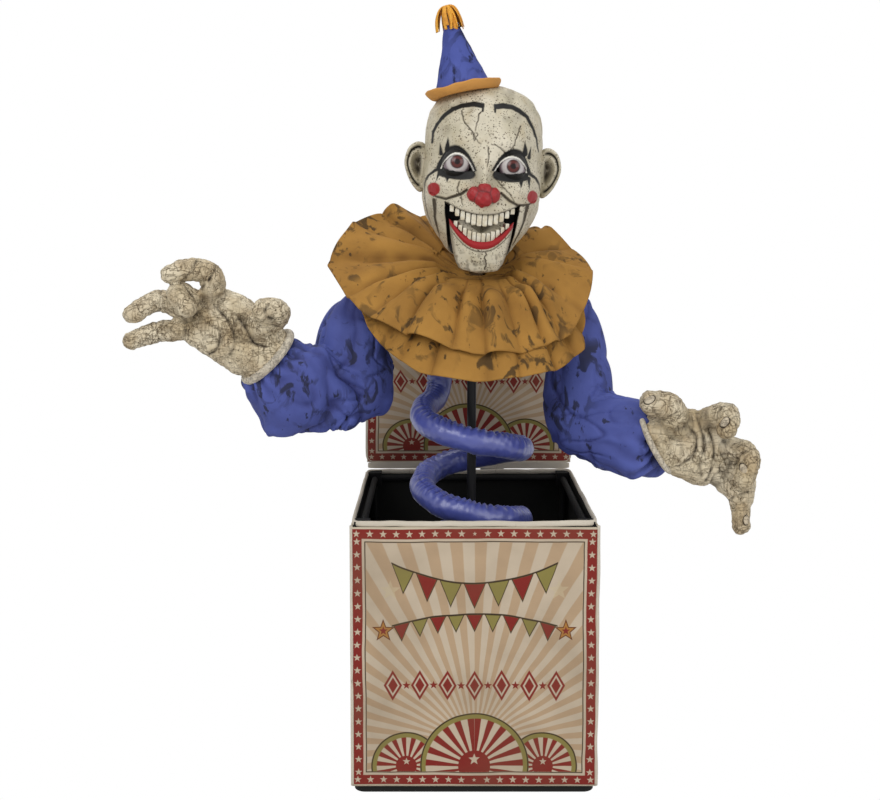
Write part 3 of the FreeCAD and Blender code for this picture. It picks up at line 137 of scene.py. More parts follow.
def hoop(path, reach_side, reach_up, hint, around):
    """Tube along a closed path: its first ring is its last one too."""
    rings = tube(path, reach_side, reach_up, hint, around)
    return np.concatenate([rings, rings[:1]])


def rod(points, radii, hint, rows=40, around=28):
    """Rod through points: its radius follows the radii and closes as a half ball at both ends."""
    path = line_through(points, rows)
    radius = line_through(radii, rows)
    run = unit(np.gradient(path, axis=0))
    turn = np.linspace(0, math.pi / 2, 8)[:-1]
    start = path[0] - run[0] * radius[0] * np.cos(turn)[:, None]
    end = path[-1] + run[-1] * radius[-1] * np.cos(turn)[::-1, None]
    path = np.concatenate([start, path, end])
    cap = np.maximum(np.sin(turn), 0.03)
    radius = np.concatenate([radius[0] * cap, radius, radius[-1] * cap[::-1]])
    return tube(path, radius, radius, hint, around)


def ball(middle, reach, rows=24, around=36, power=1.0):
    """Ball or rounded block: latitude rings, with a power under 1 squaring its corners."""
    tip = math.pi / 2 - 0.02
    lat = np.linspace(-tip, tip, rows)[:, None]
    lon = np.linspace(0, TURN, around, endpoint=False)[None]
    ring = squared(np.cos(lat), power)
    shape = np.stack([ring * squared(np.cos(lon), power), ring * squared(np.sin(lon), power),
                      squared(np.sin(lat), power) + 0 * lon], -1)
    return np.asarray(middle) + shape * np.asarray(reach)


def stroke(x, z, points, widths):
    """Cover from 0 to 1 of a painted line through (x, z) points, with its width at each point."""
    cover = np.zeros_like(x)
    for start, end, low, high in zip(points, points[1:], widths, widths[1:]):
        run = (end[0] - start[0], end[1] - start[1])
        along = (x - start[0]) * run[0] + (z - start[1]) * run[1]
        share = np.clip(along / (run[0] ** 2 + run[1] ** 2), 0, 1)
        gap = np.hypot(x - start[0] - share * run[0], z - start[1] - share * run[1])
        cover = np.maximum(cover, np.clip((low + (high - low) * share) / 2 - gap + 0.5, 0, 1))
    return cover


def strokes(x, z, lines, widths):
    """Most cover of several painted lines of like widths."""
    return np.max([stroke(x, z, line, widths) for line in lines], axis=0)


def near_line(points, line):
    """Distance of each point from a line of 3-D points."""
    found = np.full(points.shape[:-1], 1e9)
    for start, end in zip(line, line[1:]):
        run = end - start
        share = np.clip((points - start) @ run / (run @ run), 0, 1)
        found = np.minimum(found, np.linalg.norm(points - start - share[..., None] * run, axis=-1))
    return found


def spun(points, degrees):
    """Points turned about the upright axis."""
    c, s = math.cos(math.radians(degrees)), math.sin(math.radians(degrees))
    return points @ np.array([[c, s, 0], [-s, c, 0], [0, 0, 1]])


def leaned(points, degrees, place):
    """Points turned about the Y axis, the top going right, and then moved to a place."""
    c, s = math.cos(math.radians(degrees)), math.sin(math.radians(degrees))
    return points @ np.array([[c, 0, -s], [0, 1, 0], [s, 0, c]]) + np.asarray(place, float)


# meshes
def no_paint(points):
    """Four empty masks for each point."""
    return np.zeros(points.shape[:-1] + (4,))


class Skin:
    """Grids of points gathered into one mesh, with a map and four painted masks for each point."""

    def __init__(self):
        self.points, self.maps, self.masks, self.faces = [], [], [], []
        self.count = 0

    def grid(self, points, around=True, poles=True, maps=None, masks=None):
        """Add rows of points: around joins the last column to the first, poles closes both ends by fans."""
        rows, columns = points.shape[:2]
        if maps is None:
            maps = np.stack(np.meshgrid(np.linspace(0, 1, columns), np.linspace(0, 1, rows)), -1)
        if masks is None:
            masks = no_paint(points)
        index = np.arange(rows * columns).reshape(rows, columns)
        here = index if around else index[:, :-1]
        right = np.roll(index, -1, axis=1) if around else index[:, 1:]
        faces = np.stack([here[:-1], right[:-1], right[1:], here[1:]], -1).reshape(-1, 4)
        fans = np.zeros((0, 3), int)
        layers = [np.asarray(part, float).reshape(rows * columns, -1) for part in (points, maps, masks)]
        if poles:
            ends = np.full((2, columns), [[index.size], [index.size + 1]])
            fans = np.concatenate([np.stack([right[0], here[0], ends[0]], -1),
                                   np.stack([here[-1], right[-1], ends[1]], -1)])
            layers = [np.concatenate([layer, layer[:columns].mean(0, keepdims=True),
                                      layer[-columns:].mean(0, keepdims=True)]) for layer in layers]
        if around and poles:
            a, b, c, d = (layers[0][faces[:, corner]] for corner in range(4))
            e, f, g = (layers[0][fans[:, corner]] for corner in range(3))
            if (np.cross(a, b) * c + np.cross(a, c) * d).sum() + (np.cross(e, f) * g).sum() < 0:
                faces, fans = faces[:, ::-1], fans[:, ::-1]
        for total, layer in zip((self.points, self.maps, self.masks), layers):
            total.append(layer)
        self.faces += (faces + self.count).tolist() + (fans + self.count).tolist()
        self.count += len(layers[0])
        return self

    def build(self, name, finish):
        """Mesh object at the origin, smooth shaded, with its map, masks and finish."""
        mesh = bpy.data.meshes.new(name)
        mesh.from_pydata((np.concatenate(self.points) * MM).tolist(), [], self.faces)
        corners = np.zeros(len(mesh.loops), np.int32)
        mesh.loops.foreach_get("vertex_index", corners)
        layer = mesh.uv_layers.new(name="Cloth")
        layer.uv.foreach_set("vector", np.concatenate(self.maps)[corners].astype(np.float32).ravel())
        paint = mesh.color_attributes.new("Paint", "FLOAT_COLOR", "POINT")
        paint.data.foreach_set("color", np.concatenate(self.masks).astype(np.float32).ravel())
        mesh.shade_smooth()
        mesh.materials.append(finish)
        obj = bpy.data.objects.new(name, mesh)
        bpy.context.scene.collection.objects.link(obj)
        return obj


def settle(obj, body, nodes):
    """Make a finished piece ride a body and stand for CAD nodes, if it stands for any."""
    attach(obj, body)
    if nodes:
        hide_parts(*nodes)
    return obj


def thicken(obj, thick=2.0):
    """Give a sheet its thickness in millimetres, inwards."""
    solid = obj.modifiers.new("Cloth", "SOLIDIFY")
    solid.thickness = thick * MM
    solid.offset = -1
    return obj


def melted(obj, voxel, rounds):
    """Join a piece's overlapping forms into one soft skin, and give its points in mm and its normals."""
    remesh = obj.modifiers.new("Join", "REMESH")
    remesh.mode = "VOXEL"
    remesh.voxel_size = voxel * MM
    remesh.use_smooth_shade = True
    soft = obj.modifiers.new("Soften", "SMOOTH")
    soft.factor = 0.5
    soft.iterations = rounds
    mesh = bpy.data.meshes.new_from_object(obj.evaluated_get(bpy.context.evaluated_depsgraph_get()))
    obj.modifiers.clear()
    old, obj.data = obj.data, mesh
    mesh.name = obj.name
    mesh.materials.clear()
    mesh.materials.append(old.materials[0])
    bpy.data.meshes.remove(old)
    for attribute in [a for a in mesh.attributes if a.name in ("Paint", "Cloth")]:
        mesh.attributes.remove(attribute)
    points = np.zeros(len(mesh.vertices) * 3)
    normals = np.zeros(len(mesh.vertices) * 3)
    mesh.vertices.foreach_get("co", points)
    mesh.vertices.foreach_get("normal", normals)
    return points.reshape(-1, 3) / MM, normals.reshape(-1, 3)


def reshape(obj, points, masks):
    """Write moved points and painted masks back to a joined skin."""
    obj.data.vertices.foreach_set("co", (points * MM).ravel())
    paint = obj.data.color_attributes.new("Paint", "FLOAT_COLOR", "POINT")
    paint.data.foreach_set("color", masks.astype(np.float32).ravel())
    obj.data.shade_smooth()
    obj.data.update()


# finishes
def tint(red, green, blue):
    """Linear colour of a paint given in the usual 0 to 255 steps."""
    steps = np.array([red, green, blue]) / 255
    return (*np.where(steps <= 0.04045, steps / 12.92, ((steps + 0.055) / 1.055) ** 2.4), 1.0)


class Term:
    """Number in a material's graph; sums of terms add Math nodes."""

    def __init__(self, tree, socket):
        self.tree = tree
        self.socket = socket

    def do(self, operation, *others, clamp=False):
        """A Math node on this term and other terms or numbers."""
        node = self.tree.nodes.new("ShaderNodeMath")
        node.operation = operation
        node.use_clamp = clamp
        for slot, value in zip(node.inputs, (self,) + others):
            if isinstance(value, Term):
                self.tree.links.new(value.socket, slot)
            else:
                slot.default_value = value
        return Term(self.tree, node.outputs[0])

    def __add__(self, other):
        return self.do("ADD", other)

    def __sub__(self, other):
        return self.do("SUBTRACT", other)

    def __mul__(self, other):
        return self.do("MULTIPLY", other)

    def __abs__(self):
        return self.do("ABSOLUTE")

    def above(self, level, soft):
        """1 above a level and 0 below it, over a soft edge."""
        return self.do("MULTIPLY_ADD", 1 / soft, 0.5 - level / soft, clamp=True)

    def below(self, level, soft):
        """1 below a level and 0 above it, over a soft edge."""
        return self.do("MULTIPLY_ADD", -1 / soft, 0.5 + level / soft, clamp=True)

    def fold(self, pitch):
        """Distance along a repeat, from minus half a pitch to half a pitch."""
        return self.do("WRAP", pitch / 2, -pitch / 2)


class Finish:
    """A procedural material, built as layers of colour over the piece's own coordinates."""

    def __init__(self, name, colour, rough=0.6, **sockets):
        self.material = bpy.data.materials.new(name)
        self.material.use_nodes = True
        self.tree = self.material.node_tree
        self.shader = self.tree.nodes["Principled BSDF"]
        self.shader.inputs["Base Color"].default_value = colour
        self.shader.inputs["Roughness"].default_value = rough
        for key, value in sockets.items():
            self.shader.inputs[key.replace("_", " ")].default_value = value
        self.colour = colour
        self.normal = None

    def node(self, kind, **choices):
        """New shader node with the given choices."""
        made = self.tree.nodes.new("ShaderNode" + kind)
        for key, value in choices.items():
            setattr(made, key, value)
        return made

    def split(self, socket):
        """The three numbers of a vector or colour."""
        parts = self.node("SeparateXYZ")
        self.tree.links.new(socket, parts.inputs[0])
        return [Term(self.tree, out) for out in parts.outputs]

    def cloth(self, width, height):
        """Own map in millimetres: across from the middle, and up from the foot."""
        across, up, _ = self.split(self.node("UVMap", uv_map="Cloth").outputs[0])
        return across.do("MULTIPLY_ADD", width, -width / 2), up * height

    def masks(self):
        """The four painted masks of the piece."""
        paint = self.node("Attribute", attribute_name="Paint")
        return self.split(paint.outputs["Color"]) + [Term(self.tree, paint.outputs["Alpha"])]

    def noise(self, size, detail=3.0, stretch=(1, 1, 1), twist=0.0):
        """Cloudy noise of a size in millimetres, drawn out along an axis where stretch is over 1."""
        mapping = self.node("Mapping")
        mapping.inputs["Scale"].default_value = [1000 / (size * s) for s in stretch]
        self.tree.links.new(self.node("TexCoord").outputs["Object"], mapping.inputs["Vector"])
        cloud = self.node("TexNoise")
        cloud.inputs["Scale"].default_value = 1
        cloud.inputs["Detail"].default_value = detail
        cloud.inputs["Distortion"].default_value = twist
        self.tree.links.new(mapping.outputs[0], cloud.inputs["Vector"])
        return Term(self.tree, cloud.outputs[0])

    def specks(self, size):
        """Distance from scattered points, for spatter."""
        cells = self.node("TexVoronoi")
        cells.inputs["Scale"].default_value = 1000 / size
        self.tree.links.new(self.node("TexCoord").outputs["Object"], cells.inputs["Vector"])
        return Term(self.tree, cells.outputs["Distance"])

    def layer(self, mask, colour):
        """Lay a colour over what is there, by a mask."""
        mix = self.node("Mix", data_type="RGBA")
        self.tree.links.new(mask.socket, mix.inputs["Factor"])
        for slot, value in ((mix.inputs[6], self.colour), (mix.inputs[7], colour)):
            if isinstance(value, tuple):
                slot.default_value = value
            else:
                self.tree.links.new(value, slot)
        self.colour = mix.outputs[2]
        return self

    def relief(self, height, depth):
        """Raise the surface by a height term, depth in millimetres."""
        bump = self.node("Bump")
        bump.inputs["Strength"].default_value = 1.0
        bump.inputs["Distance"].default_value = depth * MM
        self.tree.links.new(height.socket, bump.inputs["Height"])
        if self.normal is not None:
            self.tree.links.new(self.normal, bump.inputs["Normal"])
        self.normal = bump.outputs[0]
        return self

    def done(self):
        """Join the colour and the relief to the shader, and keep the material by its name."""
        if not isinstance(self.colour, tuple):
            self.tree.links.new(self.colour, self.shader.inputs["Base Color"])
        if self.normal is not None:
            self.tree.links.new(self.normal, self.shader.inputs["Normal"])
        FINISHES[self.material.name.split(".")[0]] = self.material


def star(across, up, reach, soft=0.25):
    """Mask of a five-pointed star: the edge of each point is a straight line in polar coordinates."""
    half, inner = math.pi / 5, 0.42
    far = (across * across + up * up).do("SQRT")
    bend = across.do("ARCTAN2", up).do("PINGPONG", half)
    edge = bend.do("SINE") + bend.do("MULTIPLY_ADD", -1.0, half).do("SINE") * inner
    return (far * edge - reach * (inner * math.sin(half))).below(0.0, soft)


def printed_cloth():
    """Fairground print: star border, sunburst, bunting, a row of diamonds and striped half rounds."""
    width, height = 350.0, 376.0
    crisp = 0.8
    border_out, border_in, line_out, line_in = 0.5, 14.5, 18.0, 19.6
    cream, white = tint(192, 176, 154), tint(196, 184, 162)
    red, olive = tint(126, 40, 34), tint(134, 124, 68)
    tan, dark = tint(178, 152, 122), tint(58, 46, 32)
    cloth = Finish("printed_cloth", white, 0.8, Specular_IOR_Level=0.2)
    across, up = cloth.cloth(width, height)
    across = across + cloth.noise(60, 2).do("MULTIPLY_ADD", 3.0, -1.5)
    up = up + cloth.noise(75, 2).do("MULTIPLY_ADD", 3.0, -1.5)
    side = abs(across).do("MULTIPLY_ADD", -1.0, width / 2)
    level = up - height / 2
    end = abs(level).do("MULTIPLY_ADD", -1.0, height / 2)
    near = (side - 1.0).do("MINIMUM", end - 2.0)
    field = near.above(line_in, crisp)
    cloth.layer(near.above(border_out, crisp), red)
    cloth.layer(near.above(border_in, crisp), cream)
    cloth.layer(near.above(line_out, crisp), dark)
    cloth.layer(field, cream)
    # sunburst
    rise = up - 62.0
    ray = (across.do("ARCTAN2", rise) * 52.0).do("SINE")
    far = (across * across + rise * rise).do("SQRT")
    cloth.layer(field * ray.above(0.0, 0.25) * far.above(26.0, 40.0), tan)
    # pale stars, and gold stars by the sides
    for place, rise, reach, cover, colour in ((120.0, 286.0, 15.0, 0.55, tint(196, 180, 148)),
                                              (130.0, 228.0, 17.0, 1.0, tint(100, 54, 30)),
                                              (130.0, 228.0, 13.0, 1.0, tint(168, 118, 58)),
                                              (130.0, 228.0, 6.5, 1.0, red)):
        cloth.layer(field * star(abs(across) - place, up - rise, reach) * cover, colour)
    # bunting on two swags
    for foot, sag, pitch, depth in ((338.0, 0.0021, 34.0, 38.0), (228.0, -0.0012, 26.0, 26.0)):
        rope = (across * across).do("MULTIPLY_ADD", sag, foot - 140.0 * 140.0 * sag)
        drop = rope - up
        half = 0.47 * pitch
        inside = abs(across.fold(pitch)) + drop * (half / depth)
        inside = inside.do("MULTIPLY_ADD", -1.0, half).do("MINIMUM", drop)
        keep = field * abs(across).below(118.0, 1.0)
        flag = keep * inside.above(1.4, crisp)
        odd = (across + pitch / 2).fold(2 * pitch).above(0.0, 0.5)
        cloth.layer(keep * inside.above(0.0, crisp), dark)
        cloth.layer(flag, olive)
        cloth.layer(flag * odd, red)
        cloth.layer(keep * abs(drop).below(1.2, crisp), dark)
    # row of diamonds
    pitch, rise = 39.0, up - 148.0
    row = field * abs(across).below(130.0, 0.6)
    diamond = abs(across.fold(pitch)) * (1 / 13.0) + abs(rise) * (1 / 22.0)
    for share, colour in ((1.0, red), (0.72, cream), (0.52, red)):
        cloth.layer(row * diamond.below(share, 0.08), colour)
    cloth.layer(row * star((across + pitch / 2).fold(pitch), rise, 6.4), red)
    # striped half rounds along the foot
    for place, reach, stripes in ((98.0, 50.0, 18.0), (0.0, 78.0, 22.0)):
        out = abs(across) - place
        above = up - 30.0
        far = (out * out + above * above).do("SQRT")
        whole = field * far.below(reach, crisp)
        stripe = (out.do("ARCTAN2", above) * stripes).do("SINE").above(0.0, 0.3)
        cloth.layer(whole, cream)
        cloth.layer(whole * stripe, red)
        cloth.layer(whole * far.above(reach - 8.0, crisp), olive)
        cloth.layer(whole * far.above(reach - 2.0, crisp), dark)
        cloth.layer(whole * far.below(reach * 0.3, crisp), red)
        cloth.layer(whole * star(out, above - reach * 0.13, reach * 0.11), cream)
    # stars of the border, with a smaller one in the middle of each end
    pitch = 18.6
    border = near.above(border_out, crisp) * near.below(border_in, crisp)
    ends = (end - 9.5) * level.do("SIGN") * -1.0
    reach = abs(across).below(9.0, 0.2).do("MULTIPLY_ADD", -2.4, 5.4)
    sides = border * end.above(border_in, crisp)
    for place, out, rise in ((border, across.fold(pitch), ends), (sides, side - 8.5, level.fold(pitch))):
        cloth.layer(place * star(out, rise, reach, 0.4), cream)
    # wear, and the black lining on the inner face
    cloth.layer(cloth.noise(90, 4).above(0.6, 0.4) * 0.35, tint(104, 88, 68))
    lining = cloth.masks()[0]
    cloth.layer(lining.above(0.5, 0.2), tint(22, 22, 20))
    cloth.relief(cloth.noise(40, 3), 1.2)
    cloth.done()


def worn_cloth(name, colour, shade, smear, amount, rough=0.8, **sockets):
    """Dyed cloth with darker clouds, painted shade by its third mask, dark smears and a fine weave."""
    cloth = Finish(name, colour, rough, **sockets)
    cloth.layer(cloth.noise(70, 3).above(0.52, 0.5) * 0.6, shade)
    # painted shade: the third mask darkens pleat valleys, the sleeves' pushed-in folds and the hat's foot
    dirt_and_shade = cloth.masks()[2]
    cloth.layer(dirt_and_shade * 0.75, shade)
    patch = cloth.noise(26, 5, (1, 1, 1.7), 1.2).above(1 - amount, 0.07)
    cloth.layer(patch * cloth.noise(90, 2).above(0.5, 0.2) * 0.8, smear)
    cloth.layer(cloth.noise(12, 3, (1, 1, 2)).above(1.11 - amount, 0.05) * 0.8, smear)
    cloth.relief(cloth.noise(14, 4), 0.8)
    cloth.relief(cloth.noise(2.2, 2), 0.15)
    cloth.done()


def painted_skin(name, wrinkles):
    """Moulded bone-coloured skin: spatter, olive and brown dirt, wrinkle lines, and the painted masks, whose
    dark third and black first also hold painted shade.
    """
    bone, olive = tint(214, 206, 186), tint(150, 140, 105)
    spatter = ((6.0, 0.22, 0.43), (3.0, 0.26, 0.45))
    if wrinkles:
        bone, olive = tint(222, 210, 184), tint(172, 150, 108)
        spatter = ((6.0, 0.22, 0.55),)
    skin = Finish(name, bone, 0.55, Specular_IOR_Level=0.25)
    black, red, dirt_and_shade, pale = skin.masks()
    skin.layer(skin.noise(60, 4).above(0.52, 0.35) * 0.6, olive)
    skin.layer(skin.noise(22, 5).above(0.6, 0.2) * 0.35, tint(170, 150, 112))
    for size, reach, cover in spatter:
        spots = skin.specks(size).below(reach, 0.08) * skin.noise(size * 6, 2).above(cover, 0.15)
        skin.layer(spots * 0.85, tint(70, 56, 38))
    if wrinkles:
        skin.layer(skin.noise(34, 4).above(0.56, 0.25) * 0.5, tint(150, 122, 80))
        for size, width, stretch, cover in ((24, 0.014, (1, 1, 1.6), 0.45), (9, 0.022, (3.2, 1, 1), 0.42),
                                            (8, 0.022, (1, 1, 3.2), 0.46)):
            lines = abs(skin.noise(size, 2, stretch, 0.6) - 0.5).below(width, width)
            skin.layer(lines * skin.noise(38, 2).above(cover, 0.15) * 0.52, tint(92, 74, 48))
            skin.relief(lines * -1.0, 0.7)
    # dirt, and painted shade in creases, grooves and hollows
    skin.layer(dirt_and_shade, tint(50, 40, 28))
    skin.layer(pale, tint(225, 222, 214))
    skin.layer(red, tint(150, 30, 34))
    # black paint, and the painted shade of the eye and mouth pockets, the jaw's slot and the lip's edge
    skin.layer(black, tint(12, 11, 10))
    skin.relief(skin.noise(7, 4), 0.5)
    skin.relief(dirt_and_shade * -1.0, 0.8)
    skin.done()


def plain(name, colour, rough, metal):
    """Paint, plastic or metal with a faint cloud in its colour."""
    shine = 0.5 if metal else 0.2
    finish = Finish(name, tint(*colour), rough, Metallic=metal, Specular_IOR_Level=shine)
    finish.layer(finish.noise(30, 3).above(0.55, 0.4) * 0.4, tint(*[step * 0.75 for step in colour]))
    finish.relief(finish.noise(3.0, 2), 0.08)
    finish.done()


# settings
class ClownSettings(PropertyGroup):
    """Driving sizes and colours of the looks."""

    cloth_wave: FloatProperty(name="Cloth wave", description="How far the box cloth waves in and out",
                              default=0.0016, min=0.0, max=0.004, unit="LENGTH")
    tube: FloatProperty(name="Spring tube", description="Diameter of the satin tube", default=0.038,
                        min=0.02, max=0.05, unit="LENGTH")
    gather: FloatProperty(name="Gather", description="Depth of the satin gathers along the seam",
                          default=0.0015, min=0.0, max=0.005, unit="LENGTH")
    pleats: IntProperty(name="Pleats", description="Pleats round each ruffle", default=20, min=8, max=40)
    pleat_rise: FloatProperty(name="Pleat rise", description="Height of a full pleat", default=0.019,
                              min=0.0, max=0.03, unit="LENGTH")
    blue: FloatVectorProperty(name="Blue", description="Blue of the sleeves and the hat",
                              default=tint(84, 96, 168), subtype="COLOR", size=4, min=0.0, max=1.0)
    mustard: FloatVectorProperty(name="Mustard", description="Yellow-brown of the ruffles",
                                 default=tint(176, 130, 62), subtype="COLOR", size=4, min=0.0, max=1.0)
    light: FloatProperty(name="Light", description="Power of the main soft light", default=39.0, min=0.0,
                         unit="POWER")


def settings():
    """The scene's own settings of the clown."""
    return bpy.context.scene.clown


# box
PANEL = {"front": 0, "right": 90, "back": 180, "left": -90}
BOX_HALF = 175.0
BOX_FOOT, BOX_TOP, RIM_MIDDLE = 10.0, 386.0, 390.0
HINGE = (0.0, 179.5, 398.0)
LID_WIDTH, LID_HEIGHT, LID_LEAN = 348.0, 350.0, 10.0


def panel(width, height, thick, seed):
    """Printed slab with a flat lining.

    Its face swells by a cushion curve and by random waves, which are zero at the edges. Its sides wander a
    little, by a wave that fades to nothing towards the middle.
    """
    wave = settings().cloth_wave / MM
    columns, rows = 92, 96
    across, up = np.meshgrid(np.linspace(-0.5, 0.5, columns), np.linspace(0, 1, rows))
    flat = np.stack([across * width, 0 * across, up * height], -1)
    edge = (1 - (2 * across) ** 8) * (1 - (2 * up - 1) ** 8)
    swell = 0.4 + edge * (1.0 + wave * ripple(flat, 150, seed) + 0.45 * wave * ripple(flat, 48, seed + 1))
    flat[..., 0] += (2 * across) ** 5 * 0.6 * ripple(flat, 120, seed + 2)
    face, back = flat.copy(), flat.copy()
    face[..., 1] = -swell
    back[..., 1] = thick
    ring = np.concatenate([face, back[:, ::-1]], axis=1)
    maps = np.stack([across + 0.5, up], -1)
    maps = np.concatenate([maps, maps[:, ::-1]], axis=1)
    masks = no_paint(ring)
    masks[:, columns:, 0] = 1
    return ring, maps, masks


class CLOWN_OT_box(Operator):
    """Waved printed cloth on the four sides, and white binding along the rim and corners"""

    bl_idname = "clown.box"
    bl_label = "Box Cloth"

    def execute(self, context):
        cloth = FINISHES["printed_cloth"]
        white = FINISHES["white_binding"]
        for number, (side, turn) in enumerate(PANEL.items()):
            ring, maps, masks = panel(2 * BOX_HALF - 3, BOX_TOP - BOX_FOOT, 4.6, 10 * number + 3)
            ring = spun(ring + np.array([0, -BOX_HALF + 0.4, BOX_FOOT]), turn)
            obj = Skin().grid(ring, maps=maps, masks=masks).build(side + "_cloth", cloth)
            settle(obj, "stand", [side + "_panel"])
        # rim tape: an oval tube round a square with round corners
        across, back = rounded_square(0.08)
        square = np.stack([across, back, 0 * across], -1)
        path = even(square * (BOX_HALF - 3.0) + np.array([0, 0, RIM_MIDDLE]), 601)
        path[:, 2] += 0.9 * ripple(path, 130, 4) + 0.4 * ripple(path, 40, 5)
        rim = hoop(path[:-1], 2.4, 4.2, np.array([0.0, 0, 1]), 16)
        obj = Skin().grid(rim[:, ::-1], poles=False).build("rim_tape", white)
        settle(obj, "stand", ["rim_binding"])
        piping = Skin()
        for number, turn in enumerate(PANEL.values()):
            up = np.linspace(BOX_FOOT + 1, BOX_TOP + 2, 80)
            line = np.stack([0 * up + BOX_HALF - 1.2, 0 * up - BOX_HALF + 1.2, up], -1)
            line[:, 0] += 0.6 * ripple(line, 90, 7 + number)
            piping.grid(tube(spun(line, turn), 2.3, 2.3, np.array([0.7, 0.7, 0]), 12))
        settle(piping.build("corner_piping", white), "stand", [])
        return {"FINISHED"}


def on_lid(points):
    """Lid points, upright on the hinge line, leaned back on the hinge."""
    c, s = math.cos(math.radians(LID_LEAN)), math.sin(math.radians(LID_LEAN))
    return points @ np.array([[1, 0, 0], [0, c, -s], [0, s, c]]) + np.array(HINGE)


class CLOWN_OT_lid(Operator):
    """Printed cloth on the lid with a white piped edge"""

    bl_idname = "clown.lid"
    bl_label = "Lid Cloth"

    def execute(self, context):
        ring, maps, masks = panel(LID_WIDTH, LID_HEIGHT, 4.0, 71)
        ring = on_lid(ring + np.array([0, -4.0, 6.0]))
        obj = Skin().grid(ring, maps=maps, masks=masks).build("lid_cloth", FINISHES["printed_cloth"])
        settle(obj, "lid", ["lid_panel"])
        # piped edge, and a flat strip along the hinge
        across, up = rounded_square(0.06)
        half = LID_WIDTH / 2
        path = even(np.stack([across * half, 0 * across - 2.0, up * half + 181.0], -1), 501)
        edge = hoop(path[:-1], 2.6, 2.6, np.array([0.0, 1, 0]), 12)
        foot = ball((0, -5.2, 1.0), (172.0, 0.8, 5.6), 24, 48, 0.2)
        piping = Skin().grid(on_lid(edge), poles=False).grid(on_lid(foot))
        settle(piping.build("lid_piping", FINISHES["white_binding"]), "lid", [])
        return {"FINISHED"}


# satin spring
COIL_RADIUS, COIL_TURNS, COIL_BEND = 76.0, 4, 34.0
COIL_TOP, COIL_START = 600.0, math.radians(150)
COIL_LENGTH, COIL_STRAIGHT, PUCKER_PITCH = 2010.0, 38.0, 9.5


def coil_path():
    """Centre line: upright foot and head, joined to left-hand turns by smooth bends."""
    high = COIL_TOP - COIL_STRAIGHT - COIL_BEND
    low = BOX_FOOT + COIL_STRAIGHT + COIL_BEND
    angle = COIL_START + np.linspace(0, COIL_TURNS * TURN, 1200)
    fall = np.linspace(high, low, 1200)
    turns = np.stack([COIL_RADIUS * np.cos(angle), COIL_RADIUS * np.sin(angle), fall], -1)
    steps = np.linspace(0, 1, 40)[:, None]
    parts = []
    for end, run, sign in ((turns[0], turns[0] - turns[1], 1), (turns[-1], turns[-1] - turns[-2], -1)):
        flat = unit(run * np.array([1, 1, 0]))
        stop = end + flat * COIL_BEND + np.array([0, 0, sign * COIL_BEND])
        out, rise = unit(run) * 55.0, np.array([0, 0, sign * 55.0])
        bend = (end * (1 + 2 * steps) * (1 - steps) ** 2 + stop * steps ** 2 * (3 - 2 * steps)
                + out * steps * (1 - steps) ** 2 - rise * steps ** 2 * (1 - steps))
        post = stop + np.array([0, 0, sign]) * np.linspace(0, COIL_STRAIGHT, 20)[:, None]
        parts.append(np.concatenate([bend, post[1:]]))
    return even(np.concatenate([parts[0][::-1], turns[1:], parts[1][1:]]), 1150)


class CLOWN_OT_coil(Operator):
    """Satin tube on the spring: round rings along the coil, puckered along a seam near its top"""

    bl_idname = "clown.coil"
    bl_label = "Satin Spring"

    def execute(self, context):
        path = coil_path()
        gather = settings().gather / MM
        half = settings().tube / MM / 2
        run = unit(np.gradient(path, axis=0))
        out = path * np.array([1, 1, 0])
        out = unit(out - (out * run).sum(-1, keepdims=True) * run)
        up = np.cross(run, out)
        up *= np.sign(up[len(up) // 2, 2])
        angle = np.linspace(0, TURN, 64, endpoint=False)[None]

        def rings(radius):
            """Rings about the path, from its outer side upwards."""
            return (path[:, None] + out[:, None] * (radius * np.cos(angle))[..., None]
                    + up[:, None] * (radius * np.sin(angle))[..., None])

        along = np.linspace(0, COIL_LENGTH, len(path))[:, None]
        seam = math.radians(72) + 0.35 * np.sin(along / 95.0)
        off = np.abs((angle - seam + math.pi) % TURN - math.pi)
        rows = rings(19)
        pucker = np.sin(TURN * along / PUCKER_PITCH + 2.2 * ripple(rows, 60, 21))
        radius = half + 0.3 + gather * pucker * (hill(off, 0, 0.6) + 0.10) - 1.6 * hill(off, 0, 0.10)
        radius += 0.8 * ripple(rows, 55, 22) + 0.3 * ripple(rows, 16, 23)
        points = rings(radius)
        points[..., 2] = np.clip(points[..., 2], BOX_FOOT + 0.1, COIL_TOP - 0.1)
        masks = no_paint(points)
        # painted shade in the hollows of the puckers along the seam
        masks[..., 2] = 0.8 * hill(off, 0, 0.5) * np.clip(-pucker, 0, 1)
        obj = Skin().grid(points, masks=masks).build("satin_tube", FINISHES["blue_satin"])
        settle(obj, "stand", ["satin_coil"])
        return {"FINISHED"}


# ruffles, neck band and shirt yoke
# an edge is (bearing in degrees, reach, height); a neck is the seam's height at the front, sides and back
NECK_X, NECK_RADIUS = 9.0, 68.0
UPPER_EDGE = ((0, 176, 738), (33, 146, 798), (90, 140, 816), (147, 167, 832), (166, 202, 812),
              (182, 230, 745), (205, 193, 682), (228, 167, 655), (266, 160, 629), (292, 155, 629),
              (325, 157, 645), (350, 170, 705))
LOWER_EDGE = ((0, 158, 722), (45, 136, 752), (90, 130, 775), (147, 150, 782), (182, 188, 728),
              (205, 180, 658), (222, 178, 628), (241, 171, 600), (267, 165, 590), (312, 163, 601),
              (330, 168, 622), (347, 160, 678))
UPPER_NECK, LOWER_NECK = (728, 752, 764), (716, 740, 752)
RUFFLE_DEPTH, BAND_DEPTH = 0.115, 0.048
BAND_FOOT, BAND_TOP, YOKE_TOP, YOKE_HALF = 700, 733, 704, 88
YOKE_LINE = ((-61, 606), (-58, 656), (-50, 685), (-19, 704), (19, 704), (63.5, 694), (83, 682), (85, 656),
             (89, 606))


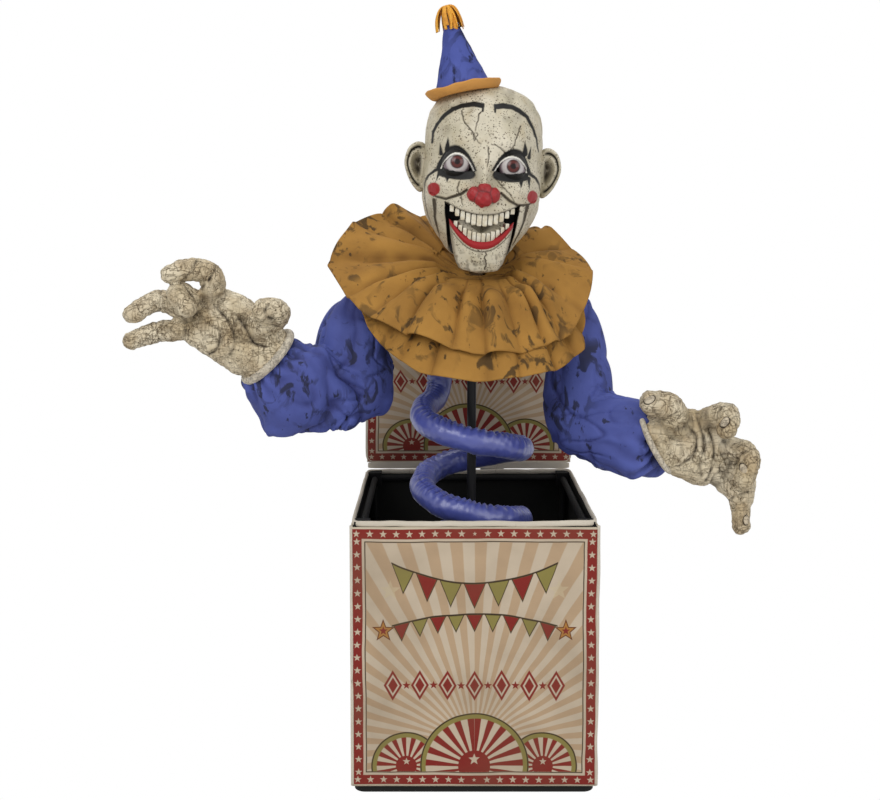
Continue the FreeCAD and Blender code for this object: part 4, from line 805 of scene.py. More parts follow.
def ruffle(edge, neck, seed, inner):
    """Pleated sheet from a ring at the neck, over the seam line at share 0, out to an edge given by bearing.

    A pleat is a skewed half wave: its rise is a power of the sine of a power of the way across it, so that
    it leans over its neighbour and meets it in a crease. Behind the chin the pleats lie low.
    """
    chance = np.random.default_rng(seed)
    pleats = settings().pleats
    bearing, share = np.meshgrid(np.linspace(0, TURN, 630, endpoint=False), np.linspace(-inner, 1, 74))
    table = np.array(edge, float)
    degrees = np.degrees(bearing)
    out = np.interp(degrees, table[:, 0], table[:, 1], period=360)
    high = np.interp(degrees, table[:, 0], table[:, 2], period=360)
    front, rear = np.maximum(-np.sin(bearing), 0), np.maximum(np.sin(bearing), 0)
    low = neck[1] + (neck[0] - neck[1]) * front * (2 - front) + (neck[2] - neck[1]) * rear
    way = pleats * bearing / TURN
    way = way + 0.25 * np.sin(3 * bearing + seed) + 0.14 * np.sin(7 * bearing + 2 * seed)
    number = np.floor(way).astype(int) % pleats
    across = np.where(chance.uniform(size=pleats)[number] < 0.5, way % 1, 1 - way % 1)
    crest = np.sin(math.pi * across ** 1.7) ** 0.6
    full = chance.uniform(0.6, 1.15, pleats)[number]
    fade = chance.uniform(0.25, 0.8, pleats)[number]
    quiet = 1 - 0.85 * ease(front, 0.5, 0.85) * (1 - ease(share, 0.10, 0.36))
    rise = settings().pleat_rise / MM * full * quiet * ease(share, -0.4, 0.28)
    rise = rise * (1 - fade * ease(share, 0.45, 1.0))
    spread = NECK_RADIUS + (out - NECK_RADIUS) * share
    radius = np.where(share < 0, NECK_RADIUS * (1 + 1.55 * share), spread)
    slope = low + (high - low) * (share - 0.10 * np.sin(math.pi * share))
    near = radius / NECK_RADIUS
    level = np.where(share < 0, neck[1] - 8 + (low - neck[1] + 8) * near - 9 * (1 - near ** 2), slope)
    flat = np.stack([radius * np.cos(bearing), radius * np.sin(bearing), level], -1)
    lift = crest * rise + 2.2 * ease(share, 0.2, 0.8) * ripple(flat, 85, seed + 1)
    steep = np.clip((low - high) / 110, -0.4, 1) * (share > 0)
    points = flat.copy()
    points[..., 0] += NECK_X + lift * steep * np.cos(bearing)
    points[..., 1] += lift * steep * np.sin(bearing)
    points[..., 2] += lift * np.sqrt(1.15 - np.clip(steep, 0, 1) ** 2)
    masks = no_paint(points)
    # painted shade in the pleat valleys, varied a little along them
    valley = hill(np.minimum(across, 1 - across), 0, 0.09) * (1 - fade * ease(share, 0.4, 0.9))
    masks[..., 2] = np.clip(valley * full * (0.75 + 0.4 * ripple(flat, 40, seed + 2)), 0, 1)
    return points, masks


def flat_area(points):
    """Area of a grid joined round, in square metres."""
    down = np.diff(points, axis=0)
    across = np.roll(points, -1, axis=1) - points
    return np.linalg.norm(np.cross(down, across[:-1]), axis=-1).sum() * MM * MM


class CLOWN_OT_ruffles(Operator):
    """Two pleated ruffles, the gathered neck band and the shirt yoke under them"""

    bl_idname = "clown.ruffles"
    bl_label = "Ruffles"

    def execute(self, context):
        mustard, blue = FINISHES["mustard_cloth"], FINISHES["blue_cloth"]
        for name, node, edge, neck, seed, inner in (
                ("upper_ruffle", "collar_upper", UPPER_EDGE, UPPER_NECK, 3, 0.53),
                ("lower_ruffle", "collar_lower", LOWER_EDGE, LOWER_NECK, 8, 0.02)):
            points, masks = ruffle(edge, neck, seed, inner)
            length = flat_area(points) / RUFFLE_DEPTH
            obj = Skin().grid(points[:, ::-1], poles=False, masks=masks[:, ::-1]).build(name, mustard)
            thicken(settle(obj, "torso", [node]))
        # neck band: a ring whose radius is a fine sine, deepest at both edges
        bearing, up = np.meshgrid(np.linspace(0, TURN, 480, endpoint=False), np.linspace(0, 1, 24))
        top = BAND_TOP + 17.0 * np.sin(bearing)
        radius = 66.5 + 1.6 * np.sin(70 * bearing) * (0.4 + 0.6 * np.abs(2 * up - 1))
        level = BAND_FOOT + (top - BAND_FOOT) * up
        band = np.stack([NECK_X + radius * np.cos(bearing), radius * np.sin(bearing), level], -1)
        length = flat_area(band) / BAND_DEPTH
        obj = Skin().grid(band, poles=False).build("neck_gathers", mustard)
        thicken(settle(obj, "torso", ["neck_band"]))
        # yoke: an outline from front to back carried across, with waves that grow down both sides
        line = even(np.array([(0, y, z) for y, z in YOKE_LINE], float), 110)
        across = np.linspace(-YOKE_HALF, YOKE_HALF, 90)[None]
        drape = np.stack(np.broadcast_arrays(across, line[:, 1:2], line[:, 2:3]), -1).astype(float)
        fall = ease(YOKE_TOP - drape[..., 2], 10, 90)
        wave = 3.0 * fall * np.sin(across / 9.0 + 2.0 * np.sin(across / 31.0)) + ripple(drape, 50, 31)
        drape[..., 1] += wave * np.sign(drape[..., 1] - 5)
        drape[..., 2] += 1.2 * ripple(drape, 40, 32) * (1 - fall)
        obj = Skin().grid(drape, around=False, poles=False).build("shirt_back", blue)
        thicken(settle(obj, "torso", ["shirt_yoke"]))
        return {"FINISHED"}


# sleeves and hands
# upper and fore: (centre, radius) along a sleeve; palm: (centre, run, half up, half side)
# cuff: (centre, run, radius); rim: half thickness of the cuff's roll; bag: (centre, radius) of hanging cloth
# hem and corners: (x, z) along the foot of that cloth; fingers: (points, radii); creases: points
# nails: (place, facing, along, half length, half width)
ARMS = {
    "left": {
        "seed": 51,
        "upper": (((-164, 12, 696), 26), ((-178, 12, 664), 46), ((-184, 8, 620), 56), ((-180, 2, 576), 60),
                  ((-172, -4, 544), 52), ((-170, -8, 514), 26)),
        "fore": (((-172, -6, 556), 52), ((-212, -24, 552), 62), ((-254, -44, 562), 72),
                 ((-284, -59, 586), 66), ((-301, -67, 611), 47)),
        "palm": (((-306, -70, 617), (-0.66, -0.3, 0.69), 45, 42),
                 ((-330, -79, 637), (-0.72, -0.26, 0.62), 50, 34),
                 ((-366, -84, 664), (-0.78, -0.2, 0.55), 52, 27),
                 ((-396, -84, 676), (-0.85, -0.15, 0.45), 46, 22),
                 ((-412, -84, 681), (-0.85, -0.15, 0.45), 36, 15)),
        "cuff": ((-304, -69, 615), (-0.66, -0.3, 0.69), 46),
        "rim": 6.5,
        "bag": ((-284, -54, 528), 40),
        "hem": ((-308, 493), (-161, 505)),
        "corners": ((-309, 491), (-131, 522)),
        "fingers": (
            (((-380, -86, 700), (-382, -98, 738), (-410, -106, 745), (-436, -112, 739)), (19, 17, 16, 14)),
            (((-398, -84, 692), (-426, -108, 711), (-409, -124, 691)), (18, 16.5, 14)),
            (((-410, -82, 676), (-456, -90, 699), (-494, -100, 681)), (17.5, 16, 14)),
            (((-408, -80, 656), (-462, -84, 653), (-498, -96, 641)), (18, 15.5, 13.5)),
            (((-330, -92, 656), (-287, -106, 681), (-300, -124, 687)), (24, 22, 18)),
        ),
        "creases": (((-372, -118, 690), (-352, -118, 668), (-345, -115, 640), (-352, -112, 622)),
                    ((-384, -112, 668), (-366, -114, 655), (-372, -110, 630), (-384, -106, 622)),
                    ((-340, -118, 676), (-326, -122, 656), (-318, -118, 640), (-300, -110, 634)),
                    ((-292, -142, 696), (-296, -143, 688), (-294, -142, 679), (-286, -140, 676))),
        "nails": (),
    },
    "right": {
        "seed": 57,
        "upper": (((158, 12, 696), 24), ((160, 12, 664), 36), ((163, 8, 610), 45), ((162, 0, 555), 52),
                  ((158, -6, 508), 48), ((154, -8, 476), 26)),
        "fore": (((158, -6, 512), 50), ((192, -26, 500), 57), ((226, -43, 491), 61), ((250, -53, 487), 60),
                 ((268, -59, 488), 49)),
        "palm": (((272, -61, 487), (0.84, -0.28, 0.46), 49, 42),
                 ((296, -70, 488), (0.95, -0.25, 0.1), 52, 34),
                 ((330, -77, 482), (0.97, -0.2, -0.1), 56, 27),
                 ((358, -77, 474), (0.97, -0.15, -0.2), 52, 22),
                 ((374, -77, 469), (0.97, -0.15, -0.2), 40, 15)),
        "cuff": ((275, -62, 488), (0.84, -0.28, 0.46), 50),
        "rim": 4.5,
        "bag": ((262, -58, 464), 34),
        "hem": ((235, 432), (299, 437)),
        "corners": ((234, 430), (120, 464)),
        "fingers": (
            (((344, -82, 522), (369, -104, 534), (364, -124, 517)), (19, 17.5, 15)),
            (((366, -78, 482), (402, -98, 474), (393, -116, 440)), (18, 16.5, 14.5)),
            (((370, -76, 456), (402, -84, 436), (400, -92, 404)), (17, 15, 12.5)),
            (((364, -74, 438), (392, -88, 410), (394, -100, 370)), (17, 15.5, 13.5)),
            (((300, -88, 514), (284, -104, 545), (257, -110, 552)), (22, 21, 17.5)),
        ),
        "creases": (((312, -112, 524), (326, -110, 496), (318, -106, 470), (300, -104, 456)),
                    ((330, -108, 520), (338, -106, 490), (332, -104, 460), (336, -104, 440)),
                    ((344, -106, 512), (352, -104, 484), (350, -104, 455), (344, -102, 432))),
        "nails": (((358, -134, 528), (-0.35, -0.75, 0.55), (0.55, 0.15, 0.8), 8.5, 5.5),
                  ((390, -122, 457), (-0.3, -0.93, 0.15), (-0.4, 0.15, 0.9), 9, 5.5),
                  ((398, -112, 380), (0.3, -0.9, 0.25), (0.25, 0.1, 0.95), 7, 4.5),
                  ((252, -124, 559), (-0.25, -0.85, 0.45), (0.85, 0.0, 0.5), 8.5, 5.5)),
    },
}


def limb(rows, around=40):
    """Loft of ovals given as (centre, run, half up, half side)."""
    rings = []
    angle = np.linspace(0, TURN, around, endpoint=False)[:, None]
    spots = line_through([row[0] for row in rows], 30)
    runs = unit(line_through(unit(np.array([row[1] for row in rows], float)), 30))
    sizes = line_through([row[2:] for row in rows], 30)
    for spot, run, (up_reach, side_reach) in zip(spots, runs, sizes):
        side = unit(np.cross(run, (0, 0, 1.0)))
        up = np.cross(side, run)
        rings.append(spot + side * side_reach * np.cos(angle) + up * up_reach * np.sin(angle))
    return np.array(rings)


class CLOWN_OT_sleeves(Operator):
    """Stuffed sleeves: two tubes melted at the elbow, a flat hem, gathers at the cuff and drag folds"""

    bl_idname = "clown.sleeves"
    bl_label = "Sleeves"

    def execute(self, context):
        for tag, plan in ARMS.items():
            skin = Skin()
            seed = plan["seed"]
            upper = np.array([spot for spot, radius in plan["upper"]], float)
            fore = np.array([spot for spot, radius in plan["fore"]], float)
            for part, spots, squash in (("upper", upper, 0.92), ("fore", fore, 0.8)):
                reach = line_through([radius for spot, radius in plan[part]], 40)
                skin.grid(tube(line_through(spots, 40), reach, reach * squash, np.array([0, 1.0, 0]), 64))
            middle, reach = plan["bag"]
            skin.grid(ball(middle, (reach, 0.8 * reach, reach)))
            obj = skin.build(tag + "_sleeve", FINISHES["blue_cloth"])
            points, normals = melted(obj, 2.6, 14)
            # drawn out to the hanging corners by round hills, and kept above the hem's straight line
            for across, level in plan["corners"]:
                off = np.array([across, 0, level]) - points * (1, 0, 1)
                points += 0.6 * off * np.exp(-((off ** 2).sum(-1, keepdims=True) / 32.0 ** 2))
            (x0, z0), (x1, z1) = plan["hem"]
            hem = z0 + (points[:, 0] - x0) * (z1 - z0) / (x1 - x0)
            over = ease(points[:, 0], x0 - 30, x0) * (1 - ease(points[:, 0], x1, x1 + 30))
            points[:, 2] += np.maximum(hem - points[:, 2], 0) * over
            # gathers: a sine round the cuff that fades exponentially up the forearm
            run = unit(fore[-1] - fore[-3])
            side = unit(np.cross(run, (0, 1.0, 0)))
            off = points - fore[-1]
            bearing = np.arctan2(off @ np.cross(side, run), off @ side)
            cuff = np.exp(np.minimum(off @ run, 0) / 30.0)
            lower = ease(near_line(points, upper) - near_line(points, fore), -16, 18)
            gathers = 3.6 * cuff * np.sin(14 * bearing + 1.6 * ripple(points, 90, 41)) * lower
            # folds: ripples drawn out along the way the cloth hangs, with sharp valleys where one is zero
            hang = unit(lower[:, None] * run + (1 - lower[:, None]) * unit(upper[-1] - upper[0]))
            along = points - 0.8 * hang * ((points - fore[0]) * hang).sum(-1, keepdims=True)
            along += 8.0 * np.stack([ripple(points, 130, seed + k) for k in range(3)], -1)
            folds = 5.5 * (np.abs(ripple(along, 105, seed + 4)) ** 0.8 - 0.5)
            folds += 1.1 * ripple(along, 48, seed + 5) - 3.4 * hill(ripple(along, 70, seed + 7), 0, 0.17)
            elbow = ease(80 - np.linalg.norm(points - fore[1], axis=1), 0, 30)
            creases = -4.0 * elbow * hill(ripple(points * (1, 1, 1.8), 95, seed + 6), 0, 0.13)
            quiet = 1 - 0.85 * cuff * lower
            move = gathers + (folds + creases) * quiet
            masks = no_paint(points)
            # painted shade: darker where the folds push the cloth in
            masks[:, 2] = np.clip(-move / 6.0, 0, 1)
            reshape(obj, points + normals * move[:, None], masks)
            settle(obj, tag + "_arm", [tag + "_upper_sleeve", tag + "_forearm_sleeve"])
        return {"FINISHED"}


class CLOWN_OT_hands(Operator):
    """Moulded hands: palm and fingers melted into one skin, with creases, knuckle folds, rims and nails"""

    bl_idname = "clown.hands"
    bl_label = "Hands"

    def execute(self, context):
        for tag, plan in ARMS.items():
            skin = Skin().grid(limb(plan["palm"]))
            hint = np.array([0.15, 0.2, 1.0])
            for spots, radii in plan["fingers"]:
                skin.grid(rod(np.array(spots, float), radii, hint))
            obj = skin.build(tag + "_glove", FINISHES["painted_hand"])
            points, normals = melted(obj, 1.9, 5)
            # palm creases, folds across each knuckle and rings at the finger roots, as round-sided grooves
            depth = np.zeros(len(points))
            dirt_and_shade = np.zeros(len(points))
            for crease in plan["creases"]:
                line = line_through(crease, 24)
                ditch = hill(near_line(points * (1, 0, 1), line * (1, 0, 1)), 0, 2.0) * (normals[:, 1] < -0.2)
                groove = np.maximum(hill(near_line(points, line), 0, 2.6), ditch)
                depth -= 1.8 * groove
                dirt_and_shade = np.maximum(dirt_and_shade, groove)
            for spots, radii in plan["fingers"]:
                spots = np.array(spots, float)
                close = near_line(points, spots) < max(radii) + 3
                bone = unit(spots[-1] - spots[0])
                for joint in spots[1:-1]:
                    here = np.linalg.norm(points - joint, axis=1)
                    flat = np.abs((points - joint) @ bone)
                    fold = close * (here < 26) * hill(flat + 0.8 * ripple(points, 14, 61), 0, 1.5)
                    depth -= 1.2 * fold
                    dirt_and_shade = np.maximum(dirt_and_shade, 0.8 * fold)
                root = close * hill(np.linalg.norm(points - spots[0], axis=1) - radii[0], 2, 2.4)
                depth -= 0.9 * root
                dirt_and_shade = np.maximum(dirt_and_shade, 0.6 * root)
            depth += 0.9 * ripple(points, 24, 62) + 0.5 * ripple(points, 9, 63)
            masks = no_paint(points)
            # painted shade, with dirt, in the creases, knuckle folds and finger roots
            masks[:, 2] = np.clip(dirt_and_shade * (0.75 + 0.35 * ripple(points, 20, 64)), 0, 1)
            reshape(obj, points + normals * depth[:, None], masks)
            settle(obj, tag + "_arm", [tag + "_hand"])
            # rolled rim: a hoop round the cuff's oval
            centre, run, reach = (np.array(part, float) for part in plan["cuff"])
            side = unit(np.cross(run, (0, 0, 1.0)))
            up = np.cross(side, unit(run))
            angle = np.linspace(0, TURN, 121)[:-1, None]
            path = centre + (side * np.cos(angle) * 0.93 + up * np.sin(angle)) * reach
            rim = hoop(path, plan["rim"], plan["rim"], unit(run), 16)[:, ::-1]
            masks = no_paint(rim)
            masks[..., 3] = 0.35
            cuff = Skin().grid(rim, poles=False, masks=masks)
            cuff = cuff.build(tag + "_cuff_rim", FINISHES["painted_hand"])
            settle(cuff, tag + "_arm", [])
            # nails: flat balls bent over the finger by a square of the way across, on a larger dark one
            nails = Skin()
            for spot, face, along, length, width in plan["nails"]:
                face, along = unit(np.array(face, float)), np.array(along, float)
                along = unit(along - face * (along @ face))
                across = np.cross(face, along)
                for scale, lift, edge in ((1.16, -0.7, 1.0), (1.0, 0.0, 0.0)):
                    flat = ball((0, 0, 0), (length * scale, width * scale, 2.6), 14, 28)
                    high = lift + flat[..., 2:3] - (flat[..., 1:2] / width) ** 2 * 1.4
                    plate = spot + along * flat[..., :1] + across * flat[..., 1:2] + face * high
                    masks = no_paint(plate)
                    masks[..., 2] = 0.9 * edge
                    masks[..., 3] = 0.2 * (1 - edge)
                    nails.grid(plate, masks=masks)
            if plan["nails"]:
                obj = nails.build(tag + "_nails", FINISHES["painted_hand"])
                settle(obj, tag + "_arm", [])
        return {"FINISHED"}


# head, in its own axes with X to the right, -Y to the front and Z up; painted lines are (x, z) points
# the rings are (height, half width, front, back), at the steps of HEAD_STEPS
HEAD_PLACE, HEAD_ROLL = (9.0, 0.0, 770.0), 3.0
HEAD_STEPS = (0, 0.6, 1.1, 1.9, 3.1, 4.3, 5.6, 6.5, 7.2, 7.9, 8.5, 9.0)
HEAD = ((-6, 0, 0, 0), (-6, 40, 66, 40), (14, 58, 96, 52), (45, 80, 106, 66), (89, 90, 108, 82),
        (135, 89, 104, 90), (182, 88, 97, 86), (209, 82, 84, 74), (230, 67, 66, 57), (243, 44, 43, 37),
        (249, 20, 20, 16), (250, 0, 0, 0))
EYES = {"left": {"ball": (-40.0, -84.0, 126.0), "look": (-40.0, 128.0), "corners": ((-62, 119), (-17, 117)),
                 "rise": 19.0, "fall": 3.0},
        "right": {"ball": (40.0, -84.0, 125.0), "look": (41.0, 125.5), "corners": ((61, 119), (16, 118)),
                  "rise": 18.0, "fall": 3.5}}
EYE_RADIUS = 20.0
BROWS = (((-9, 211), (-20, 213), (-36, 211), (-49, 206), (-62, 196), (-72, 184), (-77, 173), (-78, 157)),
         ((13, 211), (23, 213), (36, 212), (47, 207), (58, 200), (65, 191), (71, 181), (76, 169), (80, 152)))
BROW_WIDTH = (9.0, 8.6, 7.6, 6.6, 5.8, 5.0, 4.2, 3.2, 2.4)
BROW_HOOKS = (((-6.5, 213.5), (-7, 202)), ((10.5, 213.5), (11, 202)))
SPIKES = (((-55, 146), (-55, 164), 9.0), ((-64, 140), (-66, 156), 6.0), ((-53, 109), (-53, 97), 8.0),
          ((-65, 114), (-69, 99), 6.0), ((58, 146), (57, 164), 9.0), ((65, 141), (67, 157), 6.0),
          ((54.5, 107), (54, 94), 8.0), ((66, 110), (67, 94), 6.5))
EYE_LINE_WIDTH = (6.0, 4.4, 3.4, 2.6, 1.8, 1.6, 1.5, 1.2)
EYE_LINES = (((-62, 120), (-72, 115), (-81, 108), (-86, 97), (-86, 80), (-79, 50), (-66, 20), (-56, 2)),
             ((64, 119), (77, 112), (84, 104), (88, 93)))
CREASES = (((-24, 88), (-32, 82), (-53, 74), (-66, 77), (-76, 82)),
           ((25, 86), (38, 76), (51, 70), (67, 72), (79, 79)))
GROOVES = (((-70, 72), (-68, 48), (-59, 16)), ((66, 71), (62, 44), (50, 11)))
CRACKS = (((-37, 203), (-32, 185), (-20, 172), (-15, 162), (-8, 154)),
          ((-11, 201), (-15, 185), (-17, 174)), ((-20, 172), (-17, 160), (-13, 166), (-16, 172)),
          ((50, 185), (44, 168), (39, 153), (31, 139)), ((31, 141), (20, 151), (8, 155)),
          ((14, 108), (24, 98), (37, 87), (45, 76)), ((-36, 99), (-38, 89), (-32, 79), (-28, 66)),
          ((24, 98), (30, 99)), ((3, 150), (6, 138), (3, 122)))
CHEEKS = ((-72, 88, 9.6), (74, 84, 9.4))
NOSE = (((-12, -111, 82), 11.8), ((1, -113, 88), 11.6), ((12.5, -111, 82), 11.6), ((0, -115, 77), 13.4))
EAR_EDGE = ((84, 152), (92, 160), (103, 160), (114, 150), (119, 130), (115, 112), (106, 95), (94, 84),
            (86, 92), (83, 122))


def lip_edge(x):
    """Height of the upper lip's lower edge."""
    return 52 + 18 * (x / 54.6) ** 2


def eye_gap(x, z, eye):
    """Heights under the upper lid's arc and over the lower lid's: both are above 0 within the almond."""
    (x0, z0), (x1, z1) = eye["corners"]
    share = (x - x0) / (x1 - x0)
    arch = np.clip(1 - np.abs(2 * share - 1) ** 2.2, -1, 1)
    middle = z0 + (z1 - z0) * share
    return middle + eye["rise"] * arch - z, z - middle + eye["fall"] * arch


def head_skin():
    """Face and skull: oval rings up the head, whose front is pushed in and out.

    Hills make the brow, nose, cheeks and lip. Painted strokes cut the creases and cracks. The lids lie on the
    eyes' balls, and the mouth is sunk behind the lip's edge.
    """
    rows, columns = 285, 312
    level = curve(np.linspace(0.02, 8.98, rows), HEAD_STEPS, HEAD)[:, None]
    turn = np.linspace(-math.pi, math.pi, columns, endpoint=False)[None]
    turn = turn - 0.42 * np.sin(turn)
    x = level[..., 1] * np.sin(turn)
    y = -np.cos(turn) * np.where(np.cos(turn) > 0, level[..., 2], level[..., 3])
    z = level[..., 0] + 0 * turn
    front = ease(np.cos(turn), 0.0, 0.5) + 0 * z
    wide = np.abs(x)
    # brow, forehead ridge, bridge of the nose, eye sockets, cheeks and lip, and temples
    out = 5.0 * hill(z, 158, 12) * hill(wide, 36, 25)
    out += 2.2 * hill(x, 1, 6.5) * ease(z, 138, 160) * (1 - ease(z, 204, 222))
    out += 11.0 * hill(x, 0, 9) * ease(z, 78, 100) * (1 - ease(z, 112, 152))
    out -= 8.0 * hill(wide, 38, 24) * hill(z, 126, 17)
    out += 8.0 * hill(wide, 59, 20) * hill(z, 94, 15) + 8.0 * hill(x, 0, 46) * hill(z, 64, 13)
    out -= 2.5 * hill(wide, 73, 10) * hill(z, 150, 26)
    crease = np.maximum(strokes(x, z, CREASES, (3.5, 4, 3.5, 3, 2)), strokes(x, z, GROOVES, (5.5, 3.6, 1.6)))
    crack = np.zeros_like(x)
    for line in CRACKS:
        path = even(np.array([(a, 0, b) for a, b in line], float), 5 * len(line))
        path += 0.8 * np.stack([ripple(path, 9, 81), 0 * path[:, 0], ripple(path, 9, 82)], -1)
        crack = np.maximum(crack, stroke(x, z, path[:, ::2], np.linspace(1.7, 1.0, len(path))))
    out -= 3.0 * crease + 1.2 * crack
    black = np.maximum(strokes(x, z, BROWS, BROW_WIDTH), strokes(x, z, BROW_HOOKS, (4.0, 3.0)))
    black = np.maximum(black, strokes(x, z, EYE_LINES, EYE_LINE_WIDTH))
    for foot, tip, width in SPIKES:
        black = np.maximum(black, stroke(x, z, (foot, tip), (width, 0.2)))
    y -= front * out
    inside = np.zeros_like(x)
    pale = np.zeros_like(x)
    for eye in EYES.values():
        above, below = eye_gap(x, z, eye)
        cx, cy, cz = eye["ball"]
        lid = cy - np.sqrt(np.maximum((EYE_RADIUS + 1.8) ** 2 - (x - cx) ** 2 - (z - cz) ** 2, 0))
        near = front * (np.hypot(x - cx, z - cz) < EYE_RADIUS + 1.5)
        y = np.where(near > 0, np.minimum(y, lid), y)
        hole = ease(np.minimum(above, below), -0.5, 0.5) * front
        y = y + hole * (cy + 4 - y)
        # painted shade: the sunk pocket round each eye's corners is painted black
        inside = np.maximum(inside, hole)
        reach = ease(34 - np.hypot(x - cx, (z - cz + 2) * 1.12), 0, 4) * front
        rim = ease(above, -4.0, -3.2)
        pale = np.maximum(pale, rim * (above < 0.3) * (below > -1.5) * reach)
        band = 12.5 + 7.0 * ease(wide - abs(cx), -12, 16)
        black = np.maximum(black, ease(above + band, 0, 1.5) * (1 - rim) * (below > -3) * reach)
        under = ease(below, -13.5, -12.0) * (1 - ease(below, -0.2, 0.6))
        black = np.maximum(black, under * (above > -3) * reach)
    # mouth between the jaw's slots, which widen upwards; the mouth's pocket, a band along each slot and a
    # line along the lip's edge are painted dark: painted shade
    half = 42.6 + (z + 12) * 12 / 82
    mouth = ease(half - wide, -0.8, 0.8) * ease(lip_edge(x) - z, -0.8, 0.8) * front
    y = y + mouth * (-44 - y)
    slot = ease(2.0 - np.abs(half + 0.4 - wide), 0, 1.5) * ease(66 - z, 0, 4) * front
    lip = ease(3.5 - np.abs(z - lip_edge(x) - 0.5), 0, 3) * (wide < 52) * front
    # black paint, with the painted shade of the pockets, the slots and the lip's edge
    black = np.max([black * (1 - pale), mouth, inside, slot, 0.75 * lip], axis=0)
    skin = np.stack([x, y, z], -1)
    rough = 0.35 * ripple(skin, 16, 83) + 0.5 * ripple(skin, 45, 84)
    skin += unit(skin - np.array([0, 0, 110.0])) * rough[..., None]
    red = np.zeros_like(x)
    for cx, cz, reach in CHEEKS:
        red = np.maximum(red, ease(reach + 0.6 - np.hypot(x - cx, z - cz), 0, 1.2))
    # painted shade by the bridge of the nose and low on the cheeks by the grooves, soot patches on the brow;
    # with cracks and painted shade in the creases
    soot_and_shade = 0.6 * hill(wide, 17, 8) * hill(z, 112, 13) + 0.25 * hill(wide, 74, 12) * hill(z, 48, 28)
    soot_and_shade += 0.35 * hill(wide, 40, 26) * ease(z, 148, 175) * np.clip(ripple(skin, 30, 86), 0, 1)
    dirt_and_shade = np.clip(np.max([crack, 0.95 * crease, soot_and_shade], axis=0) * front, 0, 1)
    return skin, np.stack([black * front, red * front, dirt_and_shade, pale], -1)


def ear_skin(side):
    """Ear: rings from its hollow out to an outline that narrows to the lobe, a rolled rim, and the back."""
    ring = np.linspace(0.03, 1.97, 44)[:, None]
    share = 1 - np.abs(ring - 1)
    back = ring > 1
    loop = np.array(EAR_EDGE + EAR_EDGE[:1], float)
    edge = curve(np.linspace(0, len(EAR_EDGE), 84, endpoint=False), np.arange(len(loop)), loop)
    middle = np.array([98.0, 126.0])
    reach = share ** np.where(back, 0.7, 0.9)
    flat = middle + (edge - middle)[None] * reach[..., None]
    out = (edge[:, 0] - middle[0])[None] / 20
    roll = 7.0 * hill(share, 0.88, 0.14) - 10.0 * hill(share, 0.2, 0.32) + 3.5 * hill(share, 0.5, 0.12)
    y = np.where(back, 6.0 * (1 - share), 6.0 * share ** 4 - 10.0 - roll * ease(out, -0.8, -0.2))
    y = y - 5.0 * out
    masks = np.zeros(y.shape + (4,))
    masks[..., 0] = np.clip(1.8 * hill(share, 0.72, 0.055), 0, 1) * (1 - back) * ease(out, -0.5, -0.1)
    # painted shade in the ear's hollow
    masks[..., 2] = 0.9 * hill(share, 0.15, 0.2) * (1 - back)
    return np.stack([side * flat[..., 0], y, flat[..., 1]], -1), masks


def on_head(points):
    """Points of the head's own axes, rolled and put on the neck."""
    return leaned(points, HEAD_ROLL, HEAD_PLACE)


class CLOWN_OT_head(Operator):
    """Painted head with ears, glossy eyes and the four-lobed nose"""

    bl_idname = "clown.head"
    bl_label = "Head"

    def execute(self, context):
        points, masks = head_skin()
        skin = Skin().grid(on_head(points), masks=masks)
        for side in (-1, 1):
            points, masks = ear_skin(side)
            skin.grid(on_head(points), masks=masks)
        settle(skin.build("clown_face", FINISHES["painted_face"]), "head", ["head_shell"])
        for side, eye in EYES.items():
            points = ball((0, 0, 0), (1, 1, 1), 72, 96)
            centre = np.array(eye["ball"])
            look = unit(np.array([eye["look"][0], centre[1] - EYE_RADIUS, eye["look"][1]]) - centre)
            off = np.degrees(np.arccos(np.clip(points @ look, -1, 1)))
            masks = no_paint(points)
            masks[..., 0] = ease(12.0 - off, -1, 1) + 0.8 * hill(off, 27.0, 3.0)
            masks[..., 1] = ease(27.5 - off, -1, 1)
            # painted shade towards the ball's edge, under the lids
            masks[..., 2] = ease(off, 44, 62)
            points = on_head(centre + points * EYE_RADIUS)
            eyeball = Skin().grid(points, masks=np.clip(masks, 0, 1))
            obj = eyeball.build(side + "_eyeball", FINISHES["eye_gloss"])
            settle(obj, "head", [side + "_eye"])
        nose = Skin()
        for centre, radius in NOSE:
            nose.grid(on_head(ball(centre, (radius, radius, radius), 40, 56)))
        obj = nose.build("nose_lobes", FINISHES["red_gloss"])
        points, normals = melted(obj, 1.1, 16)
        gaps = np.sort([np.linalg.norm(points - on_head(np.array(centre)), axis=1) - radius
                        for centre, radius in NOSE], axis=0)
        masks = no_paint(points)
        # painted shade in the creases between the lobes
        masks[:, 2] = 0.7 * hill(gaps[1], gaps[0], 1.3)
        rough = 0.5 * ripple(points, 9, 85) - 0.3 * masks[:, 2]
        reshape(obj, points + normals * rough[:, None], masks)
        settle(obj, "head", ["clown_nose"])
        return {"FINISHED"}


# jaw and teeth, in the head's axes; the jaw's rings are (height, half width, front, back)
TEETH, TOOTH_HALF_THICK, TOOTH_LEAN = 12, 2.6, 2.0
CHIN, LIP_DEPTH, TRAY_MIDDLE = -31, 11.5, -84.0
JAW = ((-31, 12, 98, 62), (-27, 25, 103, 61), (-20, 32, 107, 60), (-8, 37, 111, 58), (8, 41.2, 113, 57),
       (28, 44.8, 114, 56), (50, 47.8, 111, 56), (66, 50, 107, 56))


